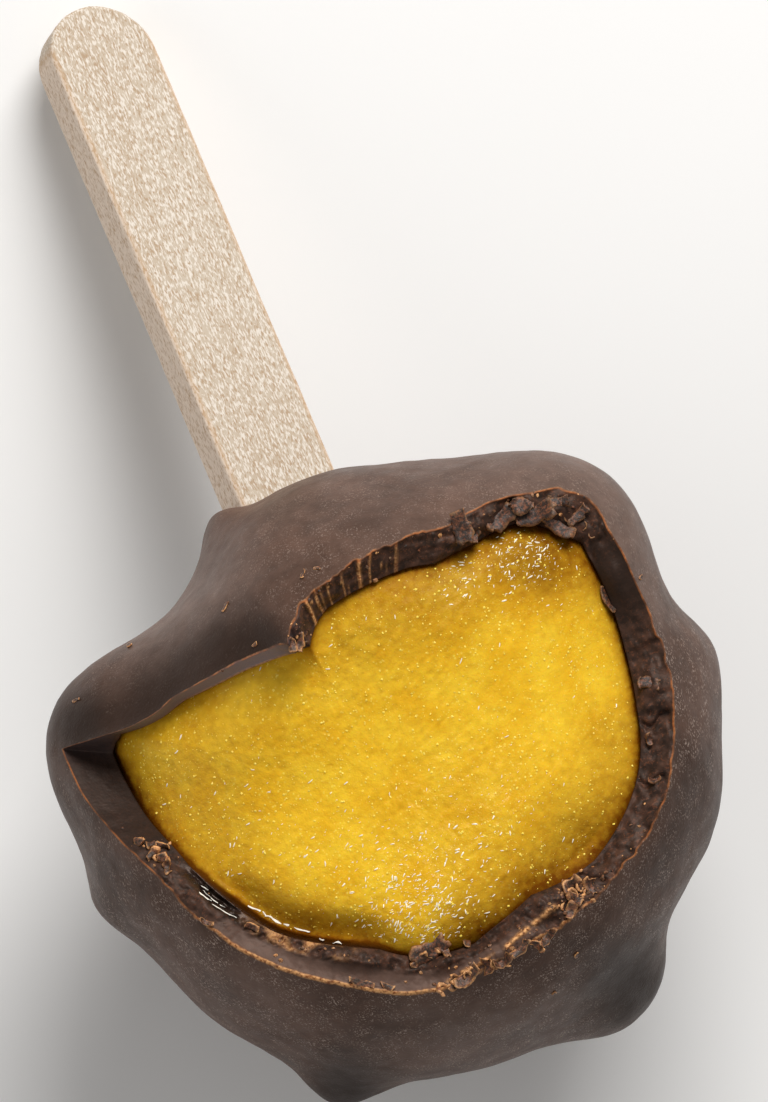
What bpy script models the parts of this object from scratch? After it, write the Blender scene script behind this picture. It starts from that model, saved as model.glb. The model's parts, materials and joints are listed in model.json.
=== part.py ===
"""Ice lolly: a ball of frozen mango in a dark chocolate coating, bitten open, on a flat wooden stick.

It lies on a table with the bite facing up, on a small flat under the ball and on the tip of the stick.
All sizes are in millimetres and all angles in degrees until a mesh is made.
"""
import math

import bpy
import bmesh
import numpy as np
from mathutils import Matrix, Vector

MM = 0.001
GAP = 0.3                       # between pieces that touch

# Ball
CENTRE_HEIGHT = 28.0            # centre of the ball above the table
BALL_RADIUS = 26.9
COAT_THICKNESS = 2.8
REST_RADIUS = 6.2               # the small flat that the ball lies on

# Stick
STICK_WIDTH = 10.0
STICK_THICKNESS = 3.8
STICK_LENGTH = 76.0
STICK_EDGE_RADIUS = 0.35
STICK_PITCH = 20.0              # tip down, until it touches the table
STICK_ROLL = 29.0               # turned about its own length
STICK_TIP_CENTRE = (1.1, 67.0, 4.45)

# Each lump: azimuth, elevation, height, spread in azimuth, spread in elevation.
# The frozen ball has broad lumps, and its coating follows them.
BALL_LUMPS = (
    (31, 8, 5.8, 14, 20),       # shoulder beside the stick
    (338, 4, 2.3, 17, 20),
    (146, 4, 4.0, 13.5, 16),    # outer end of the flap
    (121, 0, -4.0, 16, 30),     # waist between the stick and the flap
    (206, 0, -1.0, 29, 30),
    (0, -90, 2.0, 900, 26),     # underside, fuller towards the table
)

# Narrow lumps where the chocolate is thicker.
COAT_LUMPS = (
    (358, -6, 2.6, 7, 14),
    (293, -8, 3.8, 8, 9),       # knob
    (302, -6, 0.7, 4, 9),
    (239, -8, 2.7, 6, 9),       # drip
    (182, 0, 1.2, 5, 14),
    (101, -8, 1.9, 4, 9),       # corner of chocolate beside the stick
    (85, -20, 1.1, 19, 8),      # collar round the stick
    (60, -42, 0.8, 16, 10),
    (150, -40, 0.9, 14, 11),
    (215, -38, 0.7, 18, 9),
    (320, -44, 0.8, 15, 10),
)

# The coating is heavier inwards at the outer end of the flap.
INWARD_LUMPS = ((157, 15, 1.5, 11, 18),)

# The filling stands a little further back where the flap's outer end curves most.
FILLING_EASE = ((146, 4, 0.35, 15, 18),)

# Broken edge of the coating seen from above: azimuth and distance from the ball's upright axis.
FLAP_EDGE = ((103, 14.4), (117, 15.9), (135, 19.2), (148, 24.0), (152.2, 28.3))
SHELL_EDGE = (
    (152.2, 28.3), (165, 25.1), (176, 22.4), (192, 20.4), (211, 19.2), (236, 18.3), (258, 18.9),
    (281, 18.8), (298, 20.0), (313, 21.7), (338, 24.8), (367, 26.7), (384, 28.7), (391, 29.6),
    (402, 26.9), (410, 23.6), (414, 22.1),
)
TOOTH_EDGE = ((54, 22.1), (62, 20.8), (72.5, 19.2), (83, 17.9), (92.4, 16.9), (97, 16.0), (103, 14.4))

# Width of the broken face between that edge and the filling: azimuth and width seen from above.
BAND_WIDTH = (
    (97, 3.0), (103, 1.2), (125, 1.1), (146, 0.9), (148, 0.8), (150, 2.4), (152.2, 4.6), (160, 4.2),
    (170, 3.5), (181, 2.9), (212, 2.7), (245, 3.6), (275, 2.4), (298, 3.8), (315, 2.5), (352, 3.2),
    (387, 2.8), (391, 4.0), (400, 3.1), (406, 3.7), (420, 2.9), (446, 2.2), (457, 3.0),
)

# Crags on the broken face: azimuth, place across it (0 outside, 1 inside), height and the two spreads.
CRAGS = (
    (48, 0.55, 1.3, 3.0, 0.35),
    (36, 0.60, 1.0, 4.0, 0.30),
    (97, 0.20, 0.7, 2.5, 0.30),
    (266, 0.85, 1.5, 5.0, 0.22),
    (300, 0.75, 0.8, 5.0, 0.25),
    (283, 0.25, 0.8, 7.0, 0.20),
    (237, 0.75, 0.8, 7.0, 0.18),
    (190, 0.45, 0.9, 5.0, 0.25),
    (356, 0.55, 0.7, 3.0, 0.30),
    (18, 0.60, 0.6, 3.0, 0.30),
)
CRAG_ROUGHNESS = 0.35           # largest random height of a point on the broken face
CRAG_SEED = 12
EDGE_ROUGHNESS = 0.18           # largest random step of the broken edge, in or out
EDGE_SEED = 5
RIDGE_HEIGHT = 0.6              # of the double ridge along the lower rim
RIDGE_AZIMUTH = 250
RIDGE_SPAN = 42
RIDGES = ((0.05, 0.10), (0.60, 0.14))   # place across the face and width of each
LEDGE_DEPTH = 0.6               # of the smooth ledge between the two
LEDGE_PLACE = 0.33
LEDGE_WIDTH = 0.16

# Filling
FILL_STEP = 1.2                 # degrees from the inner edge of the coating down to the filling
FILL_STEP_UNDER_FLAP = 8.0
FLAP_FROM = 98.0                # the filling leaves the edge over the first span and joins it again
FLAP_FROM_SPAN = 12.0           # over the second
FLAP_TO = 154.0
FLAP_TO_SPAN = 10.0
FILL_DOME = 2.4                 # rise of the bitten face in its middle
DOME_POWER = 3.4
EDGE_POWER = 7                  # how fast the face leaves the uneven height of its edge
GROOVE_DEPTH = 0.9              # melted groove along the lower left edge
GROOVE_FROM_EDGE = 2.6
GROOVE_SPREAD = 1.0
GROOVE_AZIMUTH = 226
GROOVE_SPAN = 24

# Mesh density
STEP = 3.0
FILL_ANGLE_STEP = 5.0
OUTER_ROWS = 14
BAND_ROWS = 5
INNER_ROWS = 11
FILL_ROWS = 9
FILL_RINGS = (1.0, 0.96, 0.91, 0.85, 0.76, 0.62, 0.44, 0.22)
CORNERS = (54.0, 97.0, 103.0, 148.0, 150.0, 152.2, 31.0, 48.0)
LOWEST_OUTER = -math.degrees(math.atan2(CENTRE_HEIGHT, REST_RADIUS))
LOWEST_INNER = -80.0            # elevation of the lowest ring inside
HIGHEST_EDGE = 85.0             # elevation that no broken edge reaches
HALVINGS = 40                   # of the search for an edge's elevation
STICK_ARC_STEPS = 14
SOCKET_ARC_STEPS = 10
SHARP_ANGLE = math.radians(40.0)

COLOURS = {
    "coating": ((78, 60, 53), 0.5),
    "filling": ((230, 182, 42), 0.35),
    "stick": ((217, 203, 184), 0.75),
}


def clear_scene():
    """Take every object out of the scene."""
    for item in list(bpy.data.objects):
        bpy.data.objects.remove(item, do_unlink=True)


def linear(channel):
    """A channel of 0 to 255 as a linear value."""
    value = channel / 255.0
    return value / 12.92 if value <= 0.04045 else ((value + 0.055) / 1.055) ** 2.4


def material(name):
    """The finish of one sub-part."""
    colour, roughness = COLOURS[name]
    made = bpy.data.materials.new(name)
    made.use_nodes = True
    shader = made.node_tree.nodes["Principled BSDF"]
    shader.inputs["Base Color"].default_value = (*[linear(c) for c in colour], 1.0)
    shader.inputs["Roughness"].default_value = roughness
    shader.inputs["Metallic"].default_value = 0.0
    return made


def turn_between(azimuth, middle):
    """Signed angle from middle to azimuth, from -180 to 180."""
    return (azimuth - middle + 180.0) % 360.0 - 180.0


def lumps_height(lumps, azimuth, elevation):
    """Height that a group of lumps adds in a direction from the ball's centre."""
    total = np.zeros(np.broadcast(azimuth, elevation).shape)
    for middle, height_at, height, spread_az, spread_el in lumps:
        across = turn_between(azimuth, middle) * np.cos(np.radians(elevation)) / spread_az
        along = (elevation - height_at) / spread_el
        total = total + height * np.exp(-0.5 * (across ** 2 + along ** 2))
    return total


def outer_radius(azimuth, elevation):
    """Distance of the coating's outside from the ball's centre."""
    broad = BALL_RADIUS + lumps_height(BALL_LUMPS, azimuth, elevation)
    return broad + lumps_height(COAT_LUMPS, azimuth, elevation)


def inner_radius(azimuth, elevation):
    """Distance of the coating's inside from the ball's centre."""
    broad = BALL_RADIUS + lumps_height(BALL_LUMPS, azimuth, elevation)
    return broad - COAT_THICKNESS - lumps_height(INWARD_LUMPS, azimuth, elevation)


def filling_radius(azimuth, elevation):
    """Distance of the filling's outside from the ball's centre."""
    return inner_radius(azimuth, elevation) - GAP - lumps_height(FILLING_EASE, azimuth, elevation)


def smooth_through(points, azimuth):
    """A smooth curve through a few points, read at each azimuth between the first and the last."""
    xs = np.array([p[0] for p in points], float)
    ys = np.array([p[1] for p in points], float)
    slopes = np.gradient(ys, xs)
    place = np.clip(np.searchsorted(xs, azimuth) - 1, 0, len(xs) - 2)
    width = xs[place + 1] - xs[place]
    t = np.clip((azimuth - xs[place]) / width, 0.0, 1.0)
    start, end = ys[place], ys[place + 1]
    leaving, arriving = slopes[place] * width, slopes[place + 1] * width
    return (
        start * (2 * t ** 3 - 3 * t ** 2 + 1)
        + leaving * (t ** 3 - 2 * t ** 2 + t)
        + end * (3 * t ** 2 - 2 * t ** 3)
        + arriving * (t ** 3 - t ** 2)
    )


def rim_distance(azimuth):
    """Distance of the broken outer edge from the upright axis: tooth mark, flap and lower shell."""
    azimuth = azimuth % 360.0
    later = np.where(azimuth < SHELL_EDGE[0][0], azimuth + 360.0, azimuth)
    result = smooth_through(SHELL_EDGE, later)
    in_tooth = (azimuth >= TOOTH_EDGE[0][0]) & (azimuth <= TOOTH_EDGE[-1][0])
    in_flap = (azimuth > FLAP_EDGE[0][0]) & (azimuth <= FLAP_EDGE[-1][0])
    result = np.where(in_tooth, smooth_through(TOOTH_EDGE, azimuth), result)
    return np.where(in_flap, smooth_through(FLAP_EDGE, azimuth), result)


def band_width(azimuth):
    """Width of the broken face seen from above."""
    azimuth = azimuth % 360.0
    later = np.where(azimuth < BAND_WIDTH[0][0], azimuth + 360.0, azimuth)
    return np.interp(later, [p[0] for p in BAND_WIDTH], [p[1] for p in BAND_WIDTH])


def elevation_at(radius_of, azimuth, distance):
    """Elevation above the middle at which a surface is this far from the upright axis."""
    low = np.zeros_like(azimuth)
    high = np.full_like(azimuth, HIGHEST_EDGE)
    for _ in range(HALVINGS):
        middle = (low + high) / 2.0
        outside = radius_of(azimuth, middle) * np.cos(np.radians(middle)) > distance
        low = np.where(outside, middle, low)
        high = np.where(outside, high, middle)
    return (low + high) / 2.0


def point(azimuth, elevation, radius):
    """Points from the ball's centre, as an array of X, Y and Z."""
    turn, rise = np.radians(azimuth), np.radians(elevation)
    flat = radius * np.cos(rise)
    return np.stack([flat * np.cos(turn), flat * np.sin(turn), radius * np.sin(rise)], axis=-1)


def stations(step):
    """Azimuths of the mesh columns: even steps, with the corners of the broken edge put in."""
    even = [a for a in np.arange(0.0, 360.0, step) if min(abs(a - c) for c in CORNERS) > step * 0.45]
    return np.array(sorted(even + list(CORNERS)))


def rim_rings(azimuth, roughness=0.0):
    """Elevations of the coating's outer and inner edge at each azimuth, the outer one chipped."""
    distance = rim_distance(azimuth)
    chips = np.random.default_rng(EDGE_SEED).uniform(-roughness, roughness, len(azimuth))
    outer = elevation_at(outer_radius, azimuth, distance + chips)
    inner = elevation_at(inner_radius, azimuth, distance - band_width(azimuth))
    return outer, inner


def broken_relief(azimuth, across):
    """Height of the broken face above a straight line from its outer to its inner edge."""
    lower_rim = np.exp(-0.5 * (turn_between(azimuth, RIDGE_AZIMUTH) / RIDGE_SPAN) ** 4)
    ridges = sum(RIDGE_HEIGHT * math.exp(-((across - place) / width) ** 2) for place, width in RIDGES)
    ledge = LEDGE_DEPTH * math.exp(-((across - LEDGE_PLACE) / LEDGE_WIDTH) ** 2)
    relief = lower_rim * (ridges - ledge)
    for middle, place, height, spread_az, spread_across in CRAGS:
        over = turn_between(azimuth, middle) / spread_az
        along = (across - place) / spread_across
        relief = relief + height * np.exp(-0.5 * (over ** 2 + along ** 2))
    return relief


def broken_rows(azimuth, outer_edge, inner_edge):
    """Rows of points between the two edges of the broken face."""
    draw = np.random.default_rng(CRAG_SEED)
    rows = []
    for step in range(1, BAND_ROWS):
        across = step / BAND_ROWS
        row = outer_edge * (1.0 - across) + inner_edge * across
        rough = draw.uniform(-CRAG_ROUGHNESS, CRAG_ROUGHNESS, len(azimuth))
        held_at_edges = math.sqrt(math.sin(math.pi * across))
        row[:, 2] += broken_relief(azimuth, across) * held_at_edges + rough
        rows.append(row)
    return rows


def closed_mesh(name, rings, first_cap, last_cap):
    """A mesh of rings joined in order, each end closed by a face or, where a point is given, a fan."""
    shape = bmesh.new()
    made = [[shape.verts.new(Vector(p) * MM) for p in ring] for ring in rings]
    count = len(made[0])
    for upper, lower in zip(made, made[1:]):
        for i in range(count):
            j = (i + 1) % count
            shape.faces.new((upper[i], lower[i], lower[j], upper[j]))
    for ring, cap, flip in ((made[0], first_cap, False), (made[-1], last_cap, True)):
        if cap is None:
            shape.faces.new(ring[::-1] if flip else ring)
            continue
        tip = shape.verts.new(Vector(cap) * MM)
        for i in range(count):
            j = (i + 1) % count
            shape.faces.new((ring[j], ring[i], tip) if flip else (ring[i], ring[j], tip))
    bmesh.ops.recalc_face_normals(shape, faces=shape.faces)
    mesh = bpy.data.meshes.new(name)
    shape.to_mesh(mesh)
    shape.free()
    mesh.shade_smooth()
    return mesh


def add_object(name, mesh, finish=None):
    """Put a mesh in the scene under its sub-part's name."""
    made = bpy.data.objects.new(name, mesh)
    bpy.context.collection.objects.link(made)
    if finish:
        mesh.materials.append(material(finish))
    return made


def make_coating():
    """The chocolate shell: outside from rest flat to broken edge, broken face, inside to the bottom."""
    azimuth = stations(STEP)
    outer_rim, inner_rim = rim_rings(azimuth, EDGE_ROUGHNESS)
    outside = []
    for row in range(OUTER_ROWS + 1):
        part = row / OUTER_ROWS
        elevation = LOWEST_OUTER + (outer_rim - LOWEST_OUTER) * part
        ring = point(azimuth, elevation, outer_radius(azimuth, elevation))
        ring[:, 2] = np.maximum(ring[:, 2], -CENTRE_HEIGHT)
        outside.append(ring)
    outside[0][:, 2] = -CENTRE_HEIGHT
    inside = []
    for row in range(INNER_ROWS + 1):
        part = row / INNER_ROWS
        elevation = inner_rim + (LOWEST_INNER - inner_rim) * part
        inside.append(point(azimuth, elevation, inner_radius(azimuth, elevation)))
    rings = outside + broken_rows(azimuth, outside[-1], inside[0]) + inside
    inner_pole = (0.0, 0.0, -float(inner_radius(0.0, -90.0)))
    return add_object("coating", closed_mesh("coating", rings, None, inner_pole), "coating")


def fill_edge(azimuth):
    """Elevation at which the filling meets the coating, lower under the flap."""
    _, inner_rim = rim_rings(azimuth)
    leaving = np.clip((azimuth - FLAP_FROM) / FLAP_FROM_SPAN, 0.0, 1.0)
    joining = np.clip((FLAP_TO - azimuth) / FLAP_TO_SPAN, 0.0, 1.0)
    return inner_rim - FILL_STEP - (FILL_STEP_UNDER_FLAP - FILL_STEP) * leaving * joining


def sheet_terms(points):
    """The terms of a stretched sheet at the X and Y of these points: level, two tilts and two saddles."""
    x, y = points[:, 0], points[:, 1]
    return np.stack([np.ones_like(x), x, y, x * x - y * y, x * y], axis=-1)


def sheet_through(edge):
    """The stretched sheet that passes closest to the uneven edge of the bite."""
    return np.linalg.lstsq(sheet_terms(edge), edge[:, 2], rcond=None)[0]


def bitten_face(azimuth, edge, sheet, part):
    """One ring of the bitten face, at this part of the way from its middle to its edge."""
    ring = edge.copy()
    ring[:, :2] *= part
    span = np.hypot(edge[:, 0], edge[:, 1]) * (1.0 - part)
    along = np.exp(-0.5 * (turn_between(azimuth, GROOVE_AZIMUTH) / GROOVE_SPAN) ** 4)
    groove = GROOVE_DEPTH * along * np.exp(-0.5 * ((span - GROOVE_FROM_EDGE) / GROOVE_SPREAD) ** 2)
    uneven = (edge[:, 2] - sheet_terms(edge) @ sheet) * part ** EDGE_POWER
    dome = FILL_DOME * (1.0 - part ** DOME_POWER)
    ring[:, 2] = sheet_terms(ring) @ sheet + uneven + dome - groove
    return ring


def make_filling():
    """The frozen mango: outside just within the coating, and the bitten face on top."""
    azimuth = stations(FILL_ANGLE_STEP)
    top = fill_edge(azimuth)
    outside = []
    for row in range(FILL_ROWS + 1):
        elevation = LOWEST_INNER + (top - LOWEST_INNER) * row / FILL_ROWS
        outside.append(point(azimuth, elevation, filling_radius(azimuth, elevation)))
    sheet = sheet_through(outside[-1])
    face = [bitten_face(azimuth, outside[-1], sheet, part) for part in FILL_RINGS[1:]]
    lowest = (0.0, 0.0, -float(filling_radius(0.0, -90.0)))
    highest = (0.0, 0.0, float(sheet[0]) + FILL_DOME)
    return add_object("filling", closed_mesh("filling", outside + face, lowest, highest), "filling")


def stick_blank(name, length, grown, arc_steps):
    """A flat stick with two round ends along Y, its tip's arc about the origin, grown on all sides."""
    radius = STICK_WIDTH / 2.0 + grown
    half = STICK_THICKNESS / 2.0 + grown
    other = -(length - STICK_WIDTH)
    outline = []
    for centre, first in ((0.0, 0.0), (other, 180.0)):
        for step in range(arc_steps + 1):
            turn = math.radians(first + 180.0 * step / arc_steps)
            outline.append((radius * math.cos(turn), centre + radius * math.sin(turn)))
    shape = bmesh.new()
    base = shape.faces.new([shape.verts.new((x * MM, y * MM, -half * MM)) for x, y in outline])
    lifted = bmesh.ops.extrude_face_region(shape, geom=[base])
    moved = [v for v in lifted["geom"] if isinstance(v, bmesh.types.BMVert)]
    bmesh.ops.translate(shape, verts=moved, vec=(0.0, 0.0, 2.0 * half * MM))
    bmesh.ops.recalc_face_normals(shape, faces=shape.faces)
    mesh = bpy.data.meshes.new(name)
    shape.to_mesh(mesh)
    shape.free()
    return mesh


def stick_place():
    """The stick's place in the lolly: rolled about its length, then tipped down to the table."""
    tip = Matrix.Translation(Vector(STICK_TIP_CENTRE) * MM)
    pitch = Matrix.Rotation(math.radians(-STICK_PITCH), 4, "X")
    roll = Matrix.Rotation(math.radians(STICK_ROLL), 4, "Y")
    return tip @ pitch @ roll


def make_stick():
    """The wooden stick with its long edges slightly rounded."""
    blank = stick_blank("stick", STICK_LENGTH, 0.0, STICK_ARC_STEPS)
    stick = add_object("stick", blank, "stick")
    stick.matrix_world = stick_place()
    edges = stick.modifiers.new("rounded edges", "BEVEL")
    edges.width = STICK_EDGE_RADIUS * MM
    edges.segments = 2
    edges.limit_method = "ANGLE"
    edges.angle_limit = SHARP_ANGLE
    stick.data.shade_smooth()
    stick.data.set_sharp_from_angle(angle=SHARP_ANGLE)
    return stick


def cut_socket(pieces):
    """Cut the stick's way through the coating and into the filling."""
    blank = stick_blank("socket_cutter", STICK_LENGTH, GAP, SOCKET_ARC_STEPS)
    cutter = add_object("socket_cutter", blank)
    cutter.matrix_world = stick_place()
    cutter.hide_render = True
    cutter.display_type = "WIRE"
    for piece in pieces:
        cut = piece.modifiers.new("stick socket", "BOOLEAN")
        cut.operation = "DIFFERENCE"
        cut.solver = "EXACT"
        cut.object = cutter


def build():
    """Make the three pieces of the lolly."""
    clear_scene()
    ball = bpy.data.objects.new("ball_centre", None)
    bpy.context.collection.objects.link(ball)
    ball.location = (0.0, 0.0, CENTRE_HEIGHT * MM)
    coating = make_coating()
    filling = make_filling()
    coating.parent = ball
    filling.parent = ball
    make_stick()
    cut_socket((coating, filling))


build()
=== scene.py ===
# %% [markdown]
# # An ice lolly, bitten open
# A ball of frozen mango, dipped in dark chocolate and held on a flat wooden stick, lies on a table. One
# large bite shows the mango inside a broken rim of chocolate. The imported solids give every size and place.
# This lesson puts a fine surface over each of them: the same form worked out again with many more points,
# then small relief, then a finish made of nodes.

# %% Load the frame
import json
import math

import bmesh
import bpy
import numpy as np
from mathutils import Matrix, Vector
from mathutils.bvhtree import BVHTree

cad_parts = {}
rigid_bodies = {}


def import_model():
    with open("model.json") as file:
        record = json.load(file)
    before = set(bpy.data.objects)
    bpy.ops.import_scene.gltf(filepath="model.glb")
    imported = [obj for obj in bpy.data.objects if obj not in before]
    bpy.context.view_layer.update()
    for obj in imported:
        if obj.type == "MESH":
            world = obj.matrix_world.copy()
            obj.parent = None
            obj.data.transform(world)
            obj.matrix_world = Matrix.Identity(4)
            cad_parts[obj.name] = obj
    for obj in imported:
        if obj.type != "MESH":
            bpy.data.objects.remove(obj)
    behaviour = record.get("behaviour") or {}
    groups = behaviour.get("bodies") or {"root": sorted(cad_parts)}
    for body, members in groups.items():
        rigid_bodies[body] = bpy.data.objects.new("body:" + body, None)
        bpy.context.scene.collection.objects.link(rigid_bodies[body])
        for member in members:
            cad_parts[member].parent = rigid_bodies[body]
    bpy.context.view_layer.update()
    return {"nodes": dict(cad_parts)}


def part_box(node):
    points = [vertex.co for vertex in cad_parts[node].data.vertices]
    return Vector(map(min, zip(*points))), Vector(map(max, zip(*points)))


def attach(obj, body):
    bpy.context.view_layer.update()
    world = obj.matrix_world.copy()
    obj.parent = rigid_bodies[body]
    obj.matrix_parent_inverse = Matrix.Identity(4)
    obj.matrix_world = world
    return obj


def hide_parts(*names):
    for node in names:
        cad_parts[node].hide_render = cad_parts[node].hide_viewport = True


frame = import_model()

MM = 0.001


def put(name, data):
    """A new object in the scene."""
    made = bpy.data.objects.new(name, data)
    bpy.context.scene.collection.objects.link(made)
    return made


for node in frame["nodes"]:
    low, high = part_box(node)
    print(node, "spans", [round((b - a) / MM, 1) for a, b in zip(low, high)], "mm")

# %% [markdown]
# ## Camera
# The lolly was photographed from straight above with a long lens, its stick turned 23 degrees to the left
# of upright. A camera that looks straight down keeps that view, and a long lens far away keeps the stick's
# two edges parallel, as they are in the picture. The point under the middle of the picture lies a little up
# the stick from the ball.

# %% Point the camera
STICK_TURN = math.radians(23.0)
PICTURE_MIDDLE = Vector((7.5, 18.0, 28.0)) * MM
PICTURE_HEIGHT = 95.8 * MM
LENS = 1000.0
SENSOR = 36.0


def make_camera():
    """A camera above the lolly, turned so that the stick leans to the left."""
    data = bpy.data.cameras.new("camera")
    data.sensor_fit = "VERTICAL"
    data.sensor_height = SENSOR
    data.lens = LENS
    data.clip_end = 10.0
    camera = put("camera", data)
    up = Vector((math.sin(STICK_TURN), math.cos(STICK_TURN), 0.0))
    back = Vector((0.0, 0.0, 1.0))
    place = Matrix((up.cross(back), up, back)).transposed().to_4x4()
    place.translation = PICTURE_MIDDLE + back * (PICTURE_HEIGHT * LENS / SENSOR)
    camera.matrix_world = place
    bpy.context.scene.camera = camera
    return camera


camera = make_camera()
print("camera height", round(camera.location.z, 3), "m")

# %% [markdown]
# ## Light and floor
# Chocolate shows every lamp as a patch of sheen, so the main light has to be large and soft. It stands
# beyond the stick, as in the photo: slopes that face the stick are pale, slopes that face away are nearly
# black. A weak sky fills the shadows. The floor is plain and nearly white, and throws some light back up
# under the ball.

# %% Set up the studio
SKY = (1.0, 0.985, 0.965)
SKY_STRENGTH = 0.31
BALL_MIDDLE = Vector((0.0, 0.0, 28.0)) * MM
# place and size in metres, power and colour of each lamp
LAMPS = {
    "key_light": ((0.29, 0.40, 0.42), 0.34, 4.1, (1.0, 0.985, 0.96)),
    "side_light": ((-0.50, 0.10, 0.25), 0.40, 0.45, (1.0, 0.97, 0.94)),
}
FLOOR_HALF = 1.5
FLOOR_DROP = 0.05 * MM
FLOOR_COLOUR = (0.93, 0.93, 0.93, 1.0)


def area_light(name, place, size, power, colour):
    """A square soft light, turned to the middle of the ball."""
    data = bpy.data.lights.new(name, "AREA")
    data.size = size
    data.energy = power
    data.color = colour
    light = put(name, data)
    light.location = place
    light.rotation_euler = (Vector(place) - BALL_MIDDLE).to_track_quat("Z", "Y").to_euler()
    light.visible_camera = False
    return light


def make_floor():
    """A plain pale floor just under the lolly."""
    signs = ((-1, -1), (1, -1), (1, 1), (-1, 1))
    corners = [(x * FLOOR_HALF, y * FLOOR_HALF, -FLOOR_DROP) for x, y in signs]
    mesh = bpy.data.meshes.new("floor")
    mesh.from_pydata(corners, [], [(0, 1, 2, 3)])
    floor = put("floor", mesh)
    paint = bpy.data.materials.new("pale_floor")
    paint.use_nodes = True
    shader = paint.node_tree.nodes["Principled BSDF"]
    shader.inputs["Base Color"].default_value = FLOOR_COLOUR
    shader.inputs["Roughness"].default_value = 0.9
    shader.inputs["Specular IOR Level"].default_value = 0.1
    mesh.materials.append(paint)
    return floor


world = bpy.data.worlds.new("pale_sky")
world.use_nodes = True
world.node_tree.nodes["Background"].inputs["Color"].default_value = (*SKY, 1.0)
world.node_tree.nodes["Background"].inputs["Strength"].default_value = SKY_STRENGTH
bpy.context.scene.world = world
bpy.context.scene.view_settings.view_transform = "Standard"
for name, settings in LAMPS.items():
    area_light(name, *settings)
make_floor()

# %% [markdown]
# ## The form of the ball
# The frozen ball isn't round: it has broad lumps, and the chocolate adds narrow ones where it ran and set.
# Each lump is a soft bump on a ball, with a direction, a height and two spreads. Summing bumps keeps the
# whole form in a short list that can be read and changed, and gives a height in every direction, so the
# mesh can be as fine as the render needs.

# %% Lumps and radii
BALL_RADIUS = 26.9
CENTRE_HEIGHT = 28.0
COAT_THICKNESS = 2.8
REST_RADIUS = 6.2
CENTRE = np.array((0.0, 0.0, CENTRE_HEIGHT))

# azimuth, elevation, height, spread in azimuth, spread in elevation
BALL_LUMPS = (
    (31, 8, 5.8, 14, 20),
    (338, 4, 2.3, 17, 20),
    (146, 4, 4.0, 13.5, 16),
    (121, 0, -4.0, 16, 30),
    (206, 0, -1.0, 29, 30),
    (0, -90, 2.0, 900, 26),
)
COAT_LUMPS = (
    (358, -6, 2.6, 7, 14),
    (293, -8, 3.8, 8, 9),
    (302, -6, 0.7, 4, 9),
    (239, -8, 2.7, 6, 9),
    (182, 0, 1.2, 5, 14),
    (101, -8, 1.9, 4, 9),
    (85, -20, 1.1, 19, 8),
    (60, -42, 0.8, 16, 10),
    (150, -40, 0.9, 14, 11),
    (215, -38, 0.7, 18, 9),
    (320, -44, 0.8, 15, 10),
)
INWARD_LUMPS = ((157, 15, 1.5, 11, 18),)


def turn_between(azimuth, middle):
    """Signed angle from middle to azimuth, from -180 to 180."""
    return (azimuth - middle + 180.0) % 360.0 - 180.0


def lumps_height(lumps, azimuth, elevation):
    """Height that a group of lumps adds in a direction from the ball's centre."""
    total = np.zeros(np.broadcast(azimuth, elevation).shape)
    for middle, height_at, height, spread_az, spread_el in lumps:
        across = turn_between(azimuth, middle) * np.cos(np.radians(elevation)) / spread_az
        along = (elevation - height_at) / spread_el
        total = total + height * np.exp(-0.5 * (across ** 2 + along ** 2))
    return total


def outer_radius(azimuth, elevation):
    """Distance of the coating's outside from the ball's centre."""
    broad = BALL_RADIUS + lumps_height(BALL_LUMPS, azimuth, elevation)
    return broad + lumps_height(COAT_LUMPS, azimuth, elevation)


def inner_radius(azimuth, elevation):
    """Distance of the coating's inside from the ball's centre."""
    broad = BALL_RADIUS + lumps_height(BALL_LUMPS, azimuth, elevation)
    return broad - COAT_THICKNESS - lumps_height(INWARD_LUMPS, azimuth, elevation)


print("shoulder beside the stick", round(float(outer_radius(31.0, 8.0)), 1), "mm from the centre")

# %% [markdown]
# ## The broken edge
# Seen from above, the chocolate broke along three curves that meet in corners: the long lower shell, a
# curved tooth mark and the straight flap. A few points along each, joined by a smooth curve, give the
# distance of the edge from the ball's upright axis at every azimuth. The width of the broken face follows
# in the same way.

# %% Curves of the broken edge
FLAP_EDGE = ((103, 14.4), (117, 15.9), (135, 19.2), (148, 24.0), (152.2, 28.3))
SHELL_EDGE = (
    (152.2, 28.3), (165, 25.1), (176, 22.4), (192, 20.4), (211, 19.2), (236, 18.3), (258, 18.9),
    (281, 18.8), (298, 20.0), (313, 21.7), (338, 24.8), (367, 26.7), (384, 28.7), (391, 29.6),
    (402, 26.9), (410, 23.6), (414, 22.1),
)
TOOTH_EDGE = ((54, 22.1), (62, 20.8), (72.5, 19.2), (83, 17.9), (92.4, 16.9), (97, 16.0), (103, 14.4))
BAND_WIDTH = (
    (97, 3.0), (103, 1.2), (125, 1.1), (146, 0.9), (148, 0.8), (150, 2.4), (152.2, 4.6), (160, 4.2),
    (170, 3.5), (181, 2.9), (212, 2.7), (245, 3.6), (275, 2.4), (298, 3.8), (315, 2.5), (352, 3.2),
    (387, 2.8), (391, 4.0), (400, 3.1), (406, 3.7), (420, 2.9), (446, 2.2), (457, 3.0),
)


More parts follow.
